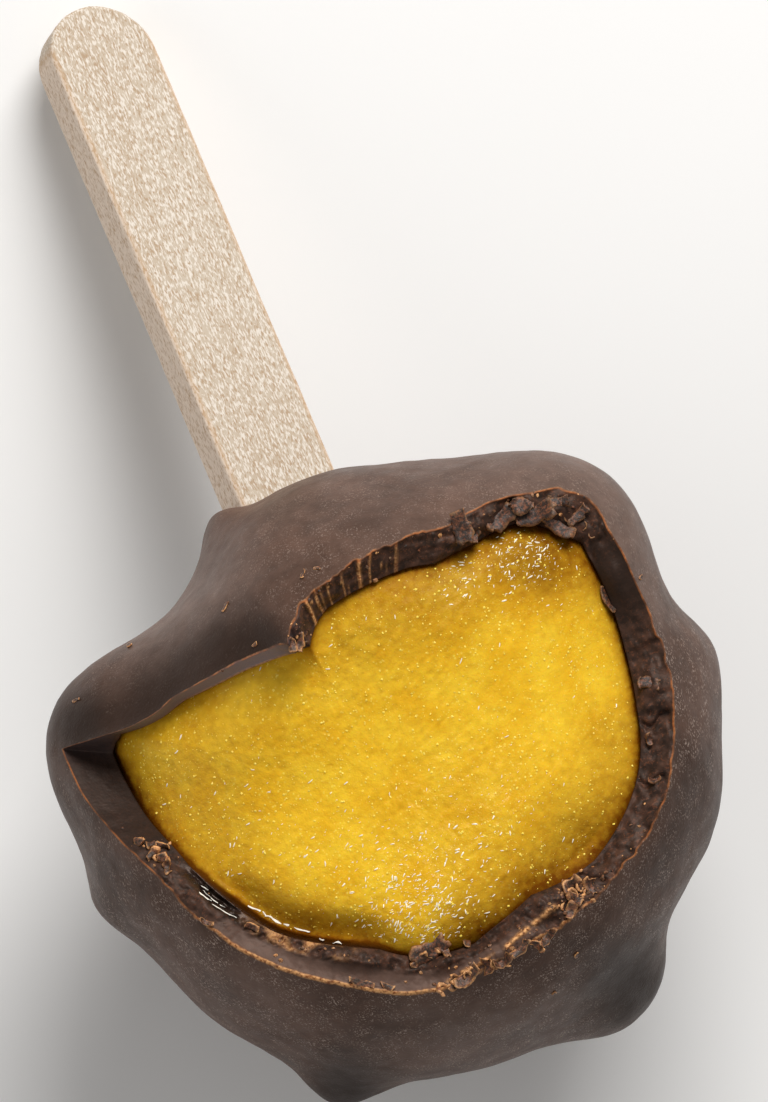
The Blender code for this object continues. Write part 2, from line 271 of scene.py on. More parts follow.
def smooth_through(points, azimuth):
    """A smooth curve through a few points, read at each azimuth between the first and the last."""
    xs = np.array([p[0] for p in points], float)
    ys = np.array([p[1] for p in points], float)
    slopes = np.gradient(ys, xs)
    place = np.clip(np.searchsorted(xs, azimuth) - 1, 0, len(xs) - 2)
    width = xs[place + 1] - xs[place]
    t = np.clip((azimuth - xs[place]) / width, 0.0, 1.0)
    start, end = ys[place], ys[place + 1]
    leaving, arriving = slopes[place] * width, slopes[place + 1] * width
    return (
        start * (2 * t ** 3 - 3 * t ** 2 + 1)
        + leaving * (t ** 3 - 2 * t ** 2 + t)
        + end * (3 * t ** 2 - 2 * t ** 3)
        + arriving * (t ** 3 - t ** 2)
    )


def rim_distance(azimuth):
    """Distance of the broken outer edge from the upright axis: tooth mark, flap and lower shell."""
    azimuth = azimuth % 360.0
    later = np.where(azimuth < SHELL_EDGE[0][0], azimuth + 360.0, azimuth)
    result = smooth_through(SHELL_EDGE, later)
    in_tooth = (azimuth >= TOOTH_EDGE[0][0]) & (azimuth <= TOOTH_EDGE[-1][0])
    in_flap = (azimuth > FLAP_EDGE[0][0]) & (azimuth <= FLAP_EDGE[-1][0])
    result = np.where(in_tooth, smooth_through(TOOTH_EDGE, azimuth), result)
    return np.where(in_flap, smooth_through(FLAP_EDGE, azimuth), result)


def band_width(azimuth):
    """Width of the broken face seen from above."""
    azimuth = azimuth % 360.0
    later = np.where(azimuth < BAND_WIDTH[0][0], azimuth + 360.0, azimuth)
    return np.interp(later, [p[0] for p in BAND_WIDTH], [p[1] for p in BAND_WIDTH])


def elevation_at(radius_of, azimuth, distance):
    """Elevation above the middle at which a surface is this far from the upright axis."""
    low = np.zeros_like(azimuth)
    high = np.full_like(azimuth, 85.0)
    for _ in range(40):
        middle = (low + high) / 2.0
        outside = radius_of(azimuth, middle) * np.cos(np.radians(middle)) > distance
        low = np.where(outside, middle, low)
        high = np.where(outside, high, middle)
    return (low + high) / 2.0


def patch(x, y, at_x, at_y, spread):
    """A soft round patch seen from above: 1 in its middle."""
    return np.exp(-0.5 * ((x - at_x) ** 2 + (y - at_y) ** 2) / spread ** 2)


def point(azimuth, elevation, radius):
    """Points from the ball's centre, as an array of X, Y and Z."""
    turn, rise = np.radians(azimuth), np.radians(elevation)
    flat = radius * np.cos(rise)
    return np.stack([flat * np.cos(turn), flat * np.sin(turn), radius * np.sin(rise)], axis=-1)


def span(azimuth, middle, half, softness):
    """1 within half of a middle azimuth, falling to 0 over a softness."""
    off = np.abs(turn_between(azimuth, middle))
    return 1.0 / (1.0 + np.exp((off - half) / softness))


print("edge of the flap's corner", round(float(rim_distance(np.array([103.0]))[0]), 1), "mm from the axis")

# %% [markdown]
# ## Soft random heights
# Broken chocolate and ice are rough at every size. Random values on the corners of a grid, blended between
# them, give soft bumps of one size, and a few sizes added together look natural. The values come from a
# seeded table, so that the lolly is the same each time.

# %% Noise on a grid
TABLE_SIZE = 4096
HASH_STEPS = (73856093, 19349663, 83492791)


def soft_noise(points, size, seed):
    """Soft random values from -1 to 1 at points in millimetres, with bumps of this size."""
    table = np.random.default_rng(seed).uniform(-1.0, 1.0, TABLE_SIZE)
    cell = np.floor(points / size).astype(np.int64)
    inside = points / size - cell
    ease = inside * inside * (3.0 - 2.0 * inside)
    total = np.zeros(points.shape[:-1])
    for corner in np.ndindex(2, 2, 2):
        key = np.zeros(points.shape[:-1], np.int64)
        share = np.ones(points.shape[:-1])
        for axis in range(3):
            key ^= (cell[..., axis] + corner[axis]) * HASH_STEPS[axis]
            share *= ease[..., axis] if corner[axis] else 1.0 - ease[..., axis]
        total += table[key % TABLE_SIZE] * share
    return total


def rough_noise(points, size, seed, layers=4, fall=0.5):
    """Soft noise of several sizes, each half the size of the last and weaker by this share."""
    total = np.zeros(points.shape[:-1])
    strength = 1.0
    for layer in range(layers):
        total += strength * soft_noise(points, size / 2 ** layer, seed + layer)
        strength *= fall
    return total


some_points = np.random.default_rng(1).uniform(0, 30, (500, 3))
print("noise range", np.round(np.ptp(rough_noise(some_points, 2.0, 3)), 2))

# %% [markdown]
# ## Meshes made of rings
# The coating and the mango are both stacks of closed rings, from the underside up and over the edge of the
# bite. One helper joins the rings with four-sided faces, closes both ends with a fan and turns the faces
# outwards. Values that a finish needs, such as how fresh a break is, are stored on the points.

# %% Ring mesh helpers


def store(mesh, key, values):
    """Keep one value for each point of a mesh under a name."""
    attribute = mesh.attributes.new(key, "FLOAT", "POINT")
    attribute.data.foreach_set("value", np.asarray(values, np.float32))


def add_mesh(name, points, faces, marks):
    """A smooth mesh of points in millimetres, with named values on its points."""
    mesh = bpy.data.meshes.new(name)
    mesh.from_pydata((np.asarray(points) * MM).tolist(), [], faces)
    mesh.shade_smooth()
    for key, values in marks.items():
        store(mesh, key, values)
    return put(name, mesh)


def ring_mesh(name, rings, first_tip, last_tip, marks):
    """A closed mesh of rings about the ball's centre, each end closed by a fan to a tip."""
    rows, count = rings.shape[:2]
    points = np.concatenate([rings.reshape(-1, 3), [first_tip, last_tip]]) + CENTRE
    across = np.arange(count)
    beside = (across + 1) % count
    faces = []
    for row in range(rows - 1):
        here, there = row * count, (row + 1) * count
        faces += np.stack([here + across, here + beside, there + beside, there + across], 1).tolist()
    first, last, top = rows * count, rows * count + 1, (rows - 1) * count
    faces += np.stack([np.full(count, first), beside, across], 1).tolist()
    faces += np.stack([np.full(count, last), top + across, top + beside], 1).tolist()
    full = {key: np.append(v.reshape(-1), [v[0].mean(), v[-1].mean()]) for key, v in marks.items()}
    return add_mesh(name, points, faces, full)


def columns(count, crowds):
    """Azimuths of the mesh columns, closer together at each crowd: its place, spread and extra share."""
    fine = np.linspace(0.0, 360.0, 7200, endpoint=False)
    density = np.ones_like(fine)
    for middle, spread, extra in crowds:
        density += extra * np.exp(-((turn_between(fine, middle) / spread) ** 2))
    total = np.concatenate([[0.0], np.cumsum(density)])
    return np.interp(np.arange(count) / count * total[-1], total, np.append(fine, 360.0))


some_columns = columns(880, ((150, 5, 1.6),))
print("columns near the corner", round(float(np.diff(some_columns)[367]), 2), "degrees apart")

# %% [markdown]
# ## Relief of the broken face
# The broken face is the part that the eye goes to. It runs from the outer edge to the mango: smooth and
# dark where the shell snapped cleanly, crumbly where it was torn, with fine cross ribs under the teeth, two
# crests with a ledge between them along the lower rim, and a few cracks across it. Relief that deep has to
# be real geometry. Thin crests are also where light comes through, so the same values say where the
# chocolate looks tan.

# %% Shape the broken face
# azimuth, place across, height, spread in azimuth and across
CRAGS = (
    (48, 0.55, 1.3, 3.0, 0.35),
    (36, 0.60, 1.0, 4.0, 0.30),
    (97, 0.20, 0.7, 2.5, 0.30),
    (266, 0.85, 1.5, 5.0, 0.22),
    (300, 0.75, 0.8, 5.0, 0.25),
    (283, 0.25, 0.8, 7.0, 0.20),
    (237, 0.75, 0.8, 7.0, 0.18),
    (190, 0.45, 0.9, 5.0, 0.25),
    (356, 0.55, 0.7, 3.0, 0.30),
    (18, 0.60, 0.6, 3.0, 0.30),
)
# azimuth, width and strength of each rib that a tooth left
TOOTH_RIBS = (
    (91.5, 0.50, 1.0), (88.0, 0.35, 0.9), (84.0, 0.30, 0.6), (74.0, 0.45, 1.0), (71.2, 0.25, 0.8),
    (64.0, 0.30, 0.6), (79.0, 0.22, 0.5),
)
# azimuth, width and depth of each crack across the broken face
CRACKS = (
    (348.5, 0.55, 0.50),
    (336.0, 0.50, 0.42),
    (24.5, 0.60, 0.35),
    (41.5, 0.70, 0.40),
    (311.0, 0.60, 0.35),
)
# middle, half width and softness of the tooth mark's azimuths
TOOTH_MARK = (77, 19, 2.0)
RIDGE_HEIGHT = 0.12
LEDGE_DEPTH = 0.02
ROLL_DROP = 2.7
ROLL_REACH = 5.5
ROLL_INSIDE = 0.35


def clean_break(azimuth):
    """1 where the shell snapped cleanly, 0 where it was torn."""
    left, wall, flap = span(azimuth, 163, 14, 2.0), span(azimuth, 17, 8, 1.5), span(azimuth, 126, 21, 2.0)
    return np.clip(left + wall + flap, 0.0, 1.0)


def along_noise(azimuth, size, seed):
    """Soft random values along the rim, with features of this many degrees."""
    walk = np.stack([azimuth, 0.0 * azimuth, 0.0 * azimuth], axis=-1)
    return soft_noise(walk, size, seed)


def crest(value, middle, width):
    """A narrow bump in a value."""
    return np.exp(-((value - middle) / width) ** 2)


def bite_lines(azimuth, across, inwards):
    """How tan each place of the broken face is: edge line, second crest, crust, tooth ribs and flap lines."""
    lower = span(azimuth, 232, 36, 4.0)
    line = 0.11 + 0.17 * lower + 0.14 * span(azimuth, 287, 20, 3.0)
    uneven = np.clip(0.55 + 0.5 * along_noise(azimuth, 1.3, 81), 0.15, 0.8)
    tan = np.exp(-(inwards / line) ** 6) * np.maximum(uneven, lower)
    second = np.clip(0.16 + (azimuth % 360.0 - 262.0) * 0.0085, 0.1, 0.6)
    broken_up = np.clip(0.55 + 1.1 * along_noise(azimuth, 1.6, 82), 0.0, 1.0)
    tan = np.maximum(tan, span(azimuth, 286, 21, 2.0) * crest(across, second, 0.06) * broken_up)
    ribs = 1.0 - np.abs(soft_noise(np.stack([azimuth * 0.8, across * 1.1, 0.0 * across], -1), 1.0, 83)) * 14.0
    ribs = np.clip(ribs, 0.0, 1.0) * np.clip(0.4 + 1.2 * along_noise(azimuth, 2.2, 85), 0.0, 1.0)
    tan = np.maximum(tan, 0.8 * span(azimuth, *TOOTH_MARK) * ribs * np.clip(1.3 - across, 0.0, 1.0))
    for middle, width, strength in TOOTH_RIBS:
        wander = 0.5 * soft_noise(np.stack([across * 2.0, 0.0 * across + middle, 0.0 * across], -1), 1.0, 86)
        tan = np.maximum(tan, strength * crest(turn_between(azimuth, middle) + wander, 0.0, width))
    tan = np.maximum(tan, 0.55 * span(azimuth, 126, 20, 2.0) * crest(across, 0.95, 0.10))
    return np.clip(tan, 0.0, 1.0)


def crust(azimuth, across):
    """1 on the crumbly strip beside the mango at the lower left."""
    return span(azimuth, 220, 15, 2.0) * np.clip((across - 0.56) * 8.0, 0.0, 1.0)


def ledge(azimuth, across):
    """1 on the smooth ledge between the two crests of the lower rim."""
    return span(azimuth, 244, 46, 3.0) * np.clip((0.62 - across) * 8.0, 0.0, 1.0)


def wet_streak(azimuth, across):
    """1 where melted juice stands on the broken face at the left."""
    return span(azimuth, 192, 10, 2.0) * np.clip((across - 0.55) * 6.0, 0.0, 1.0)


def bumps(rows, azimuth, across):
    """Soft bumps on the broken face, added up."""
    total = 0.0 * across
    for middle, place, height, spread_az, spread_across in rows:
        over = turn_between(azimuth, middle) / spread_az
        along = (across - place) / spread_across
        total = total + height * np.exp(-0.5 * (over ** 2 + along ** 2))
    return total


def broken_relief(azimuth, across):
    """Large relief of the broken face: the solid's crags, and its double ridge made lower."""
    lower_rim = np.exp(-0.5 * (turn_between(azimuth, 250.0) / 42.0) ** 4)
    relief = lower_rim * RIDGE_HEIGHT * (crest(across, 0.05, 0.10) + crest(across, 0.60, 0.14))
    relief = relief - lower_rim * LEDGE_DEPTH * crest(across, 0.33, 0.16)
    relief = relief + bumps(CRAGS, azimuth, across)
    return relief * np.sqrt(np.clip(np.sin(math.pi * np.clip(across, 0.0, 1.0)), 0.0, 1.0))


def cracks(azimuth, across):
    """Depth of the cracks that run across the broken face."""
    wander = 1.6 * soft_noise(np.stack([across * 3.0, 0.0 * across, azimuth * 0.02], -1), 1.0, 60)
    total = 0.0 * across
    for middle, width, depth in CRACKS:
        total = total + depth * crest(turn_between(azimuth, middle) + wander, 0.0, width)
    return total * np.clip((across - 0.06) * 8.0, 0.0, 1.0)


def edge_chips(azimuth):
    """Small steps of the broken edge in or out, in millimetres, nearly none where it broke cleanly."""
    chips = 0.16 * along_noise(azimuth, 2.6, 31) + 0.08 * along_noise(azimuth, 0.9, 32)
    bitten_out = 0.45 * np.clip(along_noise(azimuth, 3.4, 33) - 0.55, 0.0, 1.0)
    steps = (chips + bitten_out) * (1.0 - 0.8 * clean_break(azimuth))
    return steps * (1.0 - 0.7 * span(azimuth, 228, 36, 4.0))


def roll(azimuth, flat):
    """How far the flap sags towards its broken edge, at a distance from the upright axis."""
    from_rim = np.clip((flat - rim_distance(azimuth)) / ROLL_REACH, 0.0, 9.0)
    return ROLL_DROP * span(azimuth, 127, 21, 3.0) * np.exp(-from_rim ** 1.5)


# height, size and seed of each layer of waves in the outside
WAVES = ((0.30, 8.0, 41), (0.10, 3.2, 42), (0.03, 1.1, 43))
SAG_FADES_OVER = 12.0


def outer_skin(azimuth, elevation):
    """The coating's outside with its shallow waves."""
    base = point(azimuth, elevation, outer_radius(azimuth, elevation))
    waves = sum(height * soft_noise(base, size, seed) for height, size, seed in WAVES)
    length = np.linalg.norm(base, axis=-1, keepdims=True)
    skin = base * (1.0 + waves[..., None] / length)
    flat = np.hypot(base[..., 0], base[..., 1])
    skin[..., 2] -= roll(azimuth, flat) * np.clip(elevation / SAG_FADES_OVER, 0.0, 1.0)
    return skin


def band_surface(azimuth, across):
    """Points of the broken face from the ball's centre, and how far each is from the outer edge."""
    edge = rim_distance(azimuth) + edge_chips(azimuth)
    outer = outer_skin(azimuth, elevation_at(outer_radius, azimuth, edge))
    rise = elevation_at(inner_radius, azimuth, rim_distance(azimuth) - band_width(azimuth))
    inner = point(azimuth, rise, inner_radius(azimuth, rise))
    inner[..., 2] -= ROLL_INSIDE * roll(azimuth, np.zeros_like(rise))
    face = outer * (1.0 - across[..., None]) + inner * across[..., None]
    inwards = np.linalg.norm(face - outer, axis=-1)
    torn = (1.0 - 0.9 * clean_break(azimuth)) * (1.0 - 0.75 * ledge(azimuth, across))
    torn = torn * (1.0 - 0.5 * span(azimuth, *TOOTH_MARK)) * (1.0 - 0.45 * span(azimuth, 348, 24, 4.0))
    rough = 0.30 * rough_noise(face, 1.6, 51) + 0.14 * rough_noise(face, 0.6, 55, layers=2)
    sharp = 0.35 * np.abs(soft_noise(face, 1.1, 57)) - 0.1
    held = np.clip(np.minimum(across, 1.0 - across) * 8.0, 0.0, 1.0)
    height = broken_relief(azimuth, across) + held * torn * (rough + sharp)
    height += 0.28 * bite_lines(azimuth, across, inwards) * held
    height += held * crust(azimuth, across) * 0.30 * rough_noise(face, 0.45, 58, layers=2)
    ripples = 0.18 * np.abs(soft_noise(np.stack([azimuth * 0.12, across * 3.2, 0.0 * across], -1), 1.0, 59))
    height += held * (wet_streak(azimuth, across) * (ripples - 0.5) - cracks(azimuth, across))
    face[..., 2] += height
    return face, inwards


some_azimuths = np.arange(0.0, 360.0, 0.5)
print("edge steps up to", round(float(np.abs(edge_chips(some_azimuths)).max()), 2), "mm")

# %% [markdown]
# ## The chocolate coating
# The coating is a shell about 3 mm thick: smooth outside, with shallow waves where it set, and broken along
# the bite. Its rings lie close together near the broken edge and on the broken face, and wide apart on the
# underside and inside, so the whole shell stays light.

# %% Make the coating
COATING_COLUMNS = 880
# where the columns crowd: azimuth, spread and extra share
COATING_CROWDS = ((150, 5, 1.4), (100, 6, 0.8), (50, 6, 0.5), (275, 40, 0.4))
OUTER_ROWS = 62
BAND_ROWS = 36
INNER_ROWS = 8
LOWEST_OUTER = -math.degrees(math.atan2(CENTRE_HEIGHT, REST_RADIUS))
LOWEST_INNER = -80.0
# azimuth, place across, crumbs on a square millimetre, spread in azimuth and across
CRUMB_PATCHES = (
    (307, 0.45, 7.0, 3.0, 0.40),
    (175, 0.50, 2.5, 2.5, 0.35),
    (37, 0.35, 1.6, 6.0, 0.35),
    (98, 0.50, 4.0, 3.0, 0.50),
    (220, 0.80, 2.0, 12.0, 0.14),
    (350, 0.45, 0.2, 22.0, 0.40),
    (284, 0.25, 2.0, 18.0, 0.22),
    (77, 0.10, 2.5, 18.0, 0.12),
)

# patches of painted shade on the outside, where it faces away from the lamp: x, y, spread, share
SKIN_SHADE_PATCHES = (
    (12.6, -25.2, 3.6, 1.0), (-13.9, -24.0, 3.0, 1.0), (-22.5, 14.5, 3.0, 1.0),
    (23.6, -12.4, 4.5, 0.40), (-24.6, 1.4, 4.0, 0.22), (-25.7, 8.5, 3.5, 0.30),
)


def painted_shade_on_skin(points, azimuth):
    """Painted shade on the outside, 1 at its darkest: the flap's edge, the knob, the drip and some flanks."""
    x, y = points[..., 0], points[..., 1]
    beside = np.hypot(x, y) - rim_distance(azimuth) + 0.8 * soft_noise(points, 3.0, 45)
    painted_shade = 0.95 * span(azimuth, 127, 25, 2.5) / (1.0 + np.exp((beside - 4.6) / 0.8))
    for at_x, at_y, spread, share in SKIN_SHADE_PATCHES:
        apart = ((x - at_x) ** 2 + (y - at_y) ** 2) / spread ** 2
        painted_shade = np.maximum(painted_shade, share * np.exp(-0.5 * apart ** 1.5))
    return painted_shade


# patches of painted light, paler skin on the slopes that face the lamp: x, y, spread, share
PAINTED_LIGHT_PATCHES = (
    (-10.5, 20.5, 4.5, 0.58), (24.5, 18.0, 5.5, 0.32), (27.5, 8.0, 4.5, 0.30), (8.0, 23.0, 5.0, 0.12),
    (-3.5, -22.6, 4.5, 0.34), (-17.8, -11.8, 4.0, 0.24),
)
PAINTED_LIGHT_LOWEST = -10.0


def bloom_and_painted_light(points):
    """Painted light: how much paler the outside is on slopes facing the lamp, beyond its even bloom haze."""
    total = np.zeros(points.shape[:-1])
    for x, y, spread, share in PAINTED_LIGHT_PATCHES:
        total += share * patch(points[..., 0], points[..., 1], x, y, spread)
    return total * (points[..., 2] > PAINTED_LIGHT_LOWEST)


def crumb_density(azimuth, across):
    """How many loose crumbs lie on each square millimetre of the broken face."""
    return 0.08 * (1.0 - clean_break(azimuth)) + bumps(CRUMB_PATCHES, azimuth, across)


def make_coating():
    """The whole shell as one closed stack of rings."""
    azimuth = columns(COATING_COLUMNS, COATING_CROWDS)
    across = (np.linspace(0.0, 1.0, BAND_ROWS + 1) ** 1.2)[:, None] + 0.0 * azimuth
    turn = azimuth + 0.0 * across
    band, inwards = band_surface(turn, across)
    outer_rim = elevation_at(outer_radius, azimuth, rim_distance(azimuth) + edge_chips(azimuth))
    part = 1.0 - (1.0 - np.linspace(0.0, 1.0, OUTER_ROWS + 1)[:-1]) ** 1.35
    elevation = LOWEST_OUTER + (outer_rim - LOWEST_OUTER) * part[:, None]
    outside = outer_skin(azimuth + 0.0 * elevation, elevation)
    outside[..., 2] = np.maximum(outside[..., 2], -CENTRE_HEIGHT)
    inner_rim = elevation_at(inner_radius, azimuth, rim_distance(azimuth) - band_width(azimuth))
    down = np.linspace(0.0, 1.0, INNER_ROWS + 1)[1:]
    inner = inner_rim + (LOWEST_INNER - inner_rim) * down[:, None]
    inside = point(azimuth + 0.0 * inner, inner, inner_radius(azimuth, inner))
    sag = ROLL_INSIDE * roll(azimuth + 0.0 * inner, np.hypot(inside[..., 0], inside[..., 1]))
    inside[..., 2] -= sag * np.clip(inner / 20.0, 0.0, 1.0)
    tan = bite_lines(turn, across, inwards)
    patchy = np.clip(0.25 + 1.1 * soft_noise(band, 0.9, 84), 0.0, 1.0)
    tan = np.maximum(tan, 0.7 * crust(turn, across) * patchy)
    rusty = 0.9 * (1.0 - span(turn, 250, 52, 6.0)) * crest(across, 0.0, 0.14)
    zero, one = np.zeros(outside.shape[:2]), np.ones(inside.shape[:2])

    def on_band(values):
        """A value of the broken face, with none of it on the outside and the inside."""
        return np.concatenate([zero, values, 0.0 * one])

    def on_skin(values):
        """A value of the outside, with none of it on the broken face and the inside."""
        return np.concatenate([values, 0.0 * across, 0.0 * one])

    marks = {
        "broken": np.concatenate([zero, np.ones_like(across), one]),
        "bloom_and_painted_light": on_skin(bloom_and_painted_light(outside)),
        "painted_shade": on_skin(painted_shade_on_skin(outside, azimuth)),
        "clean": np.concatenate([zero, clean_break(turn), one]),
        "tan": on_band(tan),
        "wet": on_band(wet_streak(turn, across)),
        "ledge": on_band(ledge(turn, across)),
        "strip": on_band(span(turn, 126, 22, 2.0)),
        "rusty": on_band(rusty),
        "scatter": on_band(crumb_density(turn, across)),
    }
    marks["broken"][OUTER_ROWS] = 0.5
    tips = ((0.0, 0.0, -CENTRE_HEIGHT), (0.0, 0.0, -float(inner_radius(0.0, -90.0))))
    return ring_mesh("chocolate_coating", np.concatenate([outside, band, inside]), tips[0], tips[1], marks)


coating = make_coating()
print("coating", len(coating.data.polygons), "faces")

# %% [markdown]
# ## The frozen mango
# The mango fills the shell. Its bitten face is a pillow: it sags at the edge, where it has melted a little,
# and rises in the middle. A stretched sheet through the uneven edge gives the level, and a dome is added to
# it. A groove runs along the lower left edge, where melted juice stands behind a small lip, and the ice is
# hollow at the lower right. Grain, blisters and slanting scrape marks are fine relief on top.

# %% Make the filling
FILLING_COLUMNS = 520
FILLING_CROWDS = ((150, 5, 1.0), (98, 8, 0.8), (230, 30, 0.3))
GAP = 0.3
FILLING_EASE = ((146, 4, 0.35, 15, 18),)
FILL_STEP = 1.2
FILL_STEP_UNDER_FLAP = 6.5
FLAP_FROM, FLAP_FROM_SPAN = 98.0, 12.0
FLAP_TO, FLAP_TO_SPAN = 154.0, 10.0
FILL_DOME = 2.6
DOME_POWER = 4.2
EDGE_POWER = 7
GROOVE_DEPTH = 1.35
GROOVE_FROM_EDGE = 1.3
GROOVE_SPREAD = 1.0
GROOVE_AZIMUTH = 219
GROOVE_SPAN = 23
# middle, half width and softness of the azimuths where a lip holds the juice
LIP = (214, 22, 3.0)
FACE_RINGS = 120
WALL_ROWS = 14
SLANT = np.radians(27.0)

# each hollow or blister: x, y, height, radius
HOLLOWS = (
    (12.7, -12.4, -0.9, 3.4),
    (16.5, 10.5, -0.5, 3.5),
    (-8.0, 2.0, -0.35, 4.0),
    (1.6, 12.7, 0.22, 0.75),
    (4.1, 12.4, 0.16, 0.6),
    (3.0, 10.6, 0.12, 0.7),
    (-0.8, 12.0, 0.14, 0.5),
)
# patches of painted shade, darker ice under the rims and on slopes: x, y, spread, share
MANGO_SHADE_PATCHES = (
    (-13.0, 9.5, 4.5, 0.32), (-6.0, 10.5, 3.5, 0.12), (0.5, 12.0, 3.2, 0.22), (6.0, 14.5, 3.8, 0.44),
    (11.5, 13.0, 3.4, 0.44), (17.0, 13.5, 2.8, 0.50), (20.2, 11.0, 2.6, 0.70), (-16.0, 1.0, 3.4, 0.34),
    (-15.2, -5.0, 2.4, 0.40), (-11.6, -9.4, 2.2, 0.55), (-7.2, -12.4, 1.8, 0.50), (1.8, -15.2, 2.4, 0.70),
    (6.8, -13.8, 2.6, 0.34),
    (13.8, -11.6, 3.2, 0.50), (19.8, -4.5, 2.4, 0.40), (18.2, -10.0, 2.4, 0.45), (9.0, -13.9, 2.0, 0.45),
    (5.0, -6.5, 6.5, 0.22),
)
# each patch of ice grains, white as frost and as painted glints: x, y, spread, grains on a square millimetre
GRAIN_PATCHES = (
    (-1.4, -11.6, 2.6, 12.5),
    (-5.0, -6.0, 3.2, 2.2),
    (18.6, 13.4, 1.9, 12.0),
    (13.0, 14.0, 1.6, 5.0),
    (-13.5, 0.0, 3.0, 0.8),
    (6.0, -9.0, 4.0, 1.4),
)


def filling_radius(azimuth, elevation):
    """Distance of the filling's outside from the ball's centre."""
    return inner_radius(azimuth, elevation) - GAP - lumps_height(FILLING_EASE, azimuth, elevation)


def fill_edge(azimuth):
    """Elevation at which the filling meets the coating, lower under the flap."""
    inner_rim = elevation_at(inner_radius, azimuth, rim_distance(azimuth) - band_width(azimuth))
    leaving = np.clip((azimuth - FLAP_FROM) / FLAP_FROM_SPAN, 0.0, 1.0)
    joining = np.clip((FLAP_TO - azimuth) / FLAP_TO_SPAN, 0.0, 1.0)
    return inner_rim - FILL_STEP - (FILL_STEP_UNDER_FLAP - FILL_STEP) * leaving * joining


def sheet_terms(points):
    """The terms of a stretched sheet: level, two tilts and two saddles."""
    x, y = points[..., 0], points[..., 1]
    return np.stack([np.ones_like(x), x, y, x * x - y * y, x * y], axis=-1)


def bitten_face(azimuth, edge, part):
    """Rings of the bitten face at these parts of the way from its middle to its edge."""
    sheet = np.linalg.lstsq(sheet_terms(edge), edge[:, 2], rcond=None)[0]
    rings = edge * np.ones_like(part)[:, None, None]
    rings[..., :2] *= part[:, None, None]
    from_edge = np.hypot(edge[:, 0], edge[:, 1]) * (1.0 - part[:, None])
    along = np.exp(-0.5 * (turn_between(azimuth, GROOVE_AZIMUTH) / GROOVE_SPAN) ** 4)
    groove = GROOVE_DEPTH * along * np.exp(-0.5 * ((from_edge - GROOVE_FROM_EDGE) / GROOVE_SPREAD) ** 2)
    uneven = (edge[:, 2] - sheet_terms(edge) @ sheet) * part[:, None] ** EDGE_POWER
    dome = FILL_DOME * (1.0 - part[:, None] ** DOME_POWER)
    lip = 0.40 * span(azimuth, *LIP) * crest(from_edge, 0.75, 0.28)
    rings[..., 2] = sheet_terms(rings) @ sheet + uneven + dome - groove + lip
    for x, y, height, radius in HOLLOWS:
        apart = np.hypot(rings[..., 0] - x, rings[..., 1] - y) / radius
        rings[..., 2] += height * np.exp(-apart ** 2) * np.clip(from_edge / 1.5, 0.0, 1.0)
    return rings, from_edge, float(sheet[0]) + FILL_DOME


def ice_relief(points, from_edge):
    """Fine height of the bitten ice: soft hollows, grain and short slanting scrape marks."""
    x, y = points[..., 0], points[..., 1]
    along, beside = x * np.cos(SLANT) + y * np.sin(SLANT), y * np.cos(SLANT) - x * np.sin(SLANT)
    slant = np.stack([along * 0.25, beside, 0.0 * along], axis=-1)
    hollows = 0.16 * soft_noise(points, 7.0, 61) + 0.05 * soft_noise(points, 2.4, 62)
    grain = 0.045 * rough_noise(points, 0.9, 63, layers=3, fall=0.7)
    scrapes = 0.03 * soft_noise(slant, 0.35, 66)
    return (hollows + grain + scrapes) * np.clip(from_edge / 1.2, 0.0, 1.0)


def stain_and_shade(azimuth, from_edge, x, y):
    """Brownness of the mango: juice and painted shade at its edge, painted shade on slopes and in patches."""
    # painted shade: the brown edge is wider on the slopes and under the rims, where shade falls
    width = 0.8 + 1.0 * span(azimuth, 222, 24, 5.0) + 1.5 * span(azimuth, 308, 12, 5.0)
    width = width + 1.2 * span(azimuth, 35, 14, 6.0) + 0.8 * span(azimuth, 165, 12, 5.0)
    share = np.exp(-(from_edge / width) ** 1.3)
    for at_x, at_y, spread, amount in MANGO_SHADE_PATCHES:
        share = share + amount * patch(x, y, at_x, at_y, spread) * (1.0 - share)
    moat = 0.8 * span(azimuth, 218, 32, 4.0) * np.exp(-(from_edge / 0.5) ** 2)
    return share + moat


def grain_density(points, from_edge):
    """How many ice grains stand on each square millimetre of the bitten face."""
    density = 0.10 + 0.0 * from_edge
    for x, y, spread, amount in GRAIN_PATCHES:
        apart = np.hypot(points[..., 0] - x, points[..., 1] - y) / spread
        density = density + amount * np.exp(-0.5 * apart ** 2)
    return density * np.clip(from_edge - 0.6, 0.0, 1.0)


def make_filling():
    """The mango as one closed stack of rings."""
    azimuth = columns(FILLING_COLUMNS, FILLING_CROWDS)
    top = fill_edge(azimuth)
    elevation = LOWEST_INNER + (top - LOWEST_INNER) * np.linspace(0.0, 1.0, WALL_ROWS)[:, None]
    wall = point(azimuth + 0.0 * elevation, elevation, filling_radius(azimuth, elevation))
    part = np.linspace(1.0, 0.0, FACE_RINGS + 2)[1:-1] ** 0.8
    face, from_edge, middle = bitten_face(azimuth, wall[-1], part)
    face[..., 2] += ice_relief(face, from_edge)
    under = np.ones(wall.shape[:2])
    brown = stain_and_shade(azimuth + 0.0 * from_edge, from_edge, face[..., 0], face[..., 1])
    wet = span(azimuth, *LIP) * np.clip((2.2 - from_edge) * 2.0, 0.0, 1.0)
    marks = {
        "stain_and_shade": np.concatenate([under, brown]),
        "scatter": np.concatenate([0.0 * under, grain_density(face, from_edge)]),
        "bitten": np.concatenate([0.0 * under, np.clip(from_edge - 0.5, 0.0, 1.0)]),
        "wet": np.concatenate([under, wet]),
    }
    tips = ((0.0, 0.0, -float(filling_radius(0.0, -90.0))), (0.0, 0.0, middle))
    return ring_mesh("mango_filling", np.concatenate([wall, face]), tips[0], tips[1], marks)


filling = make_filling()
print("filling", len(filling.data.polygons), "faces")

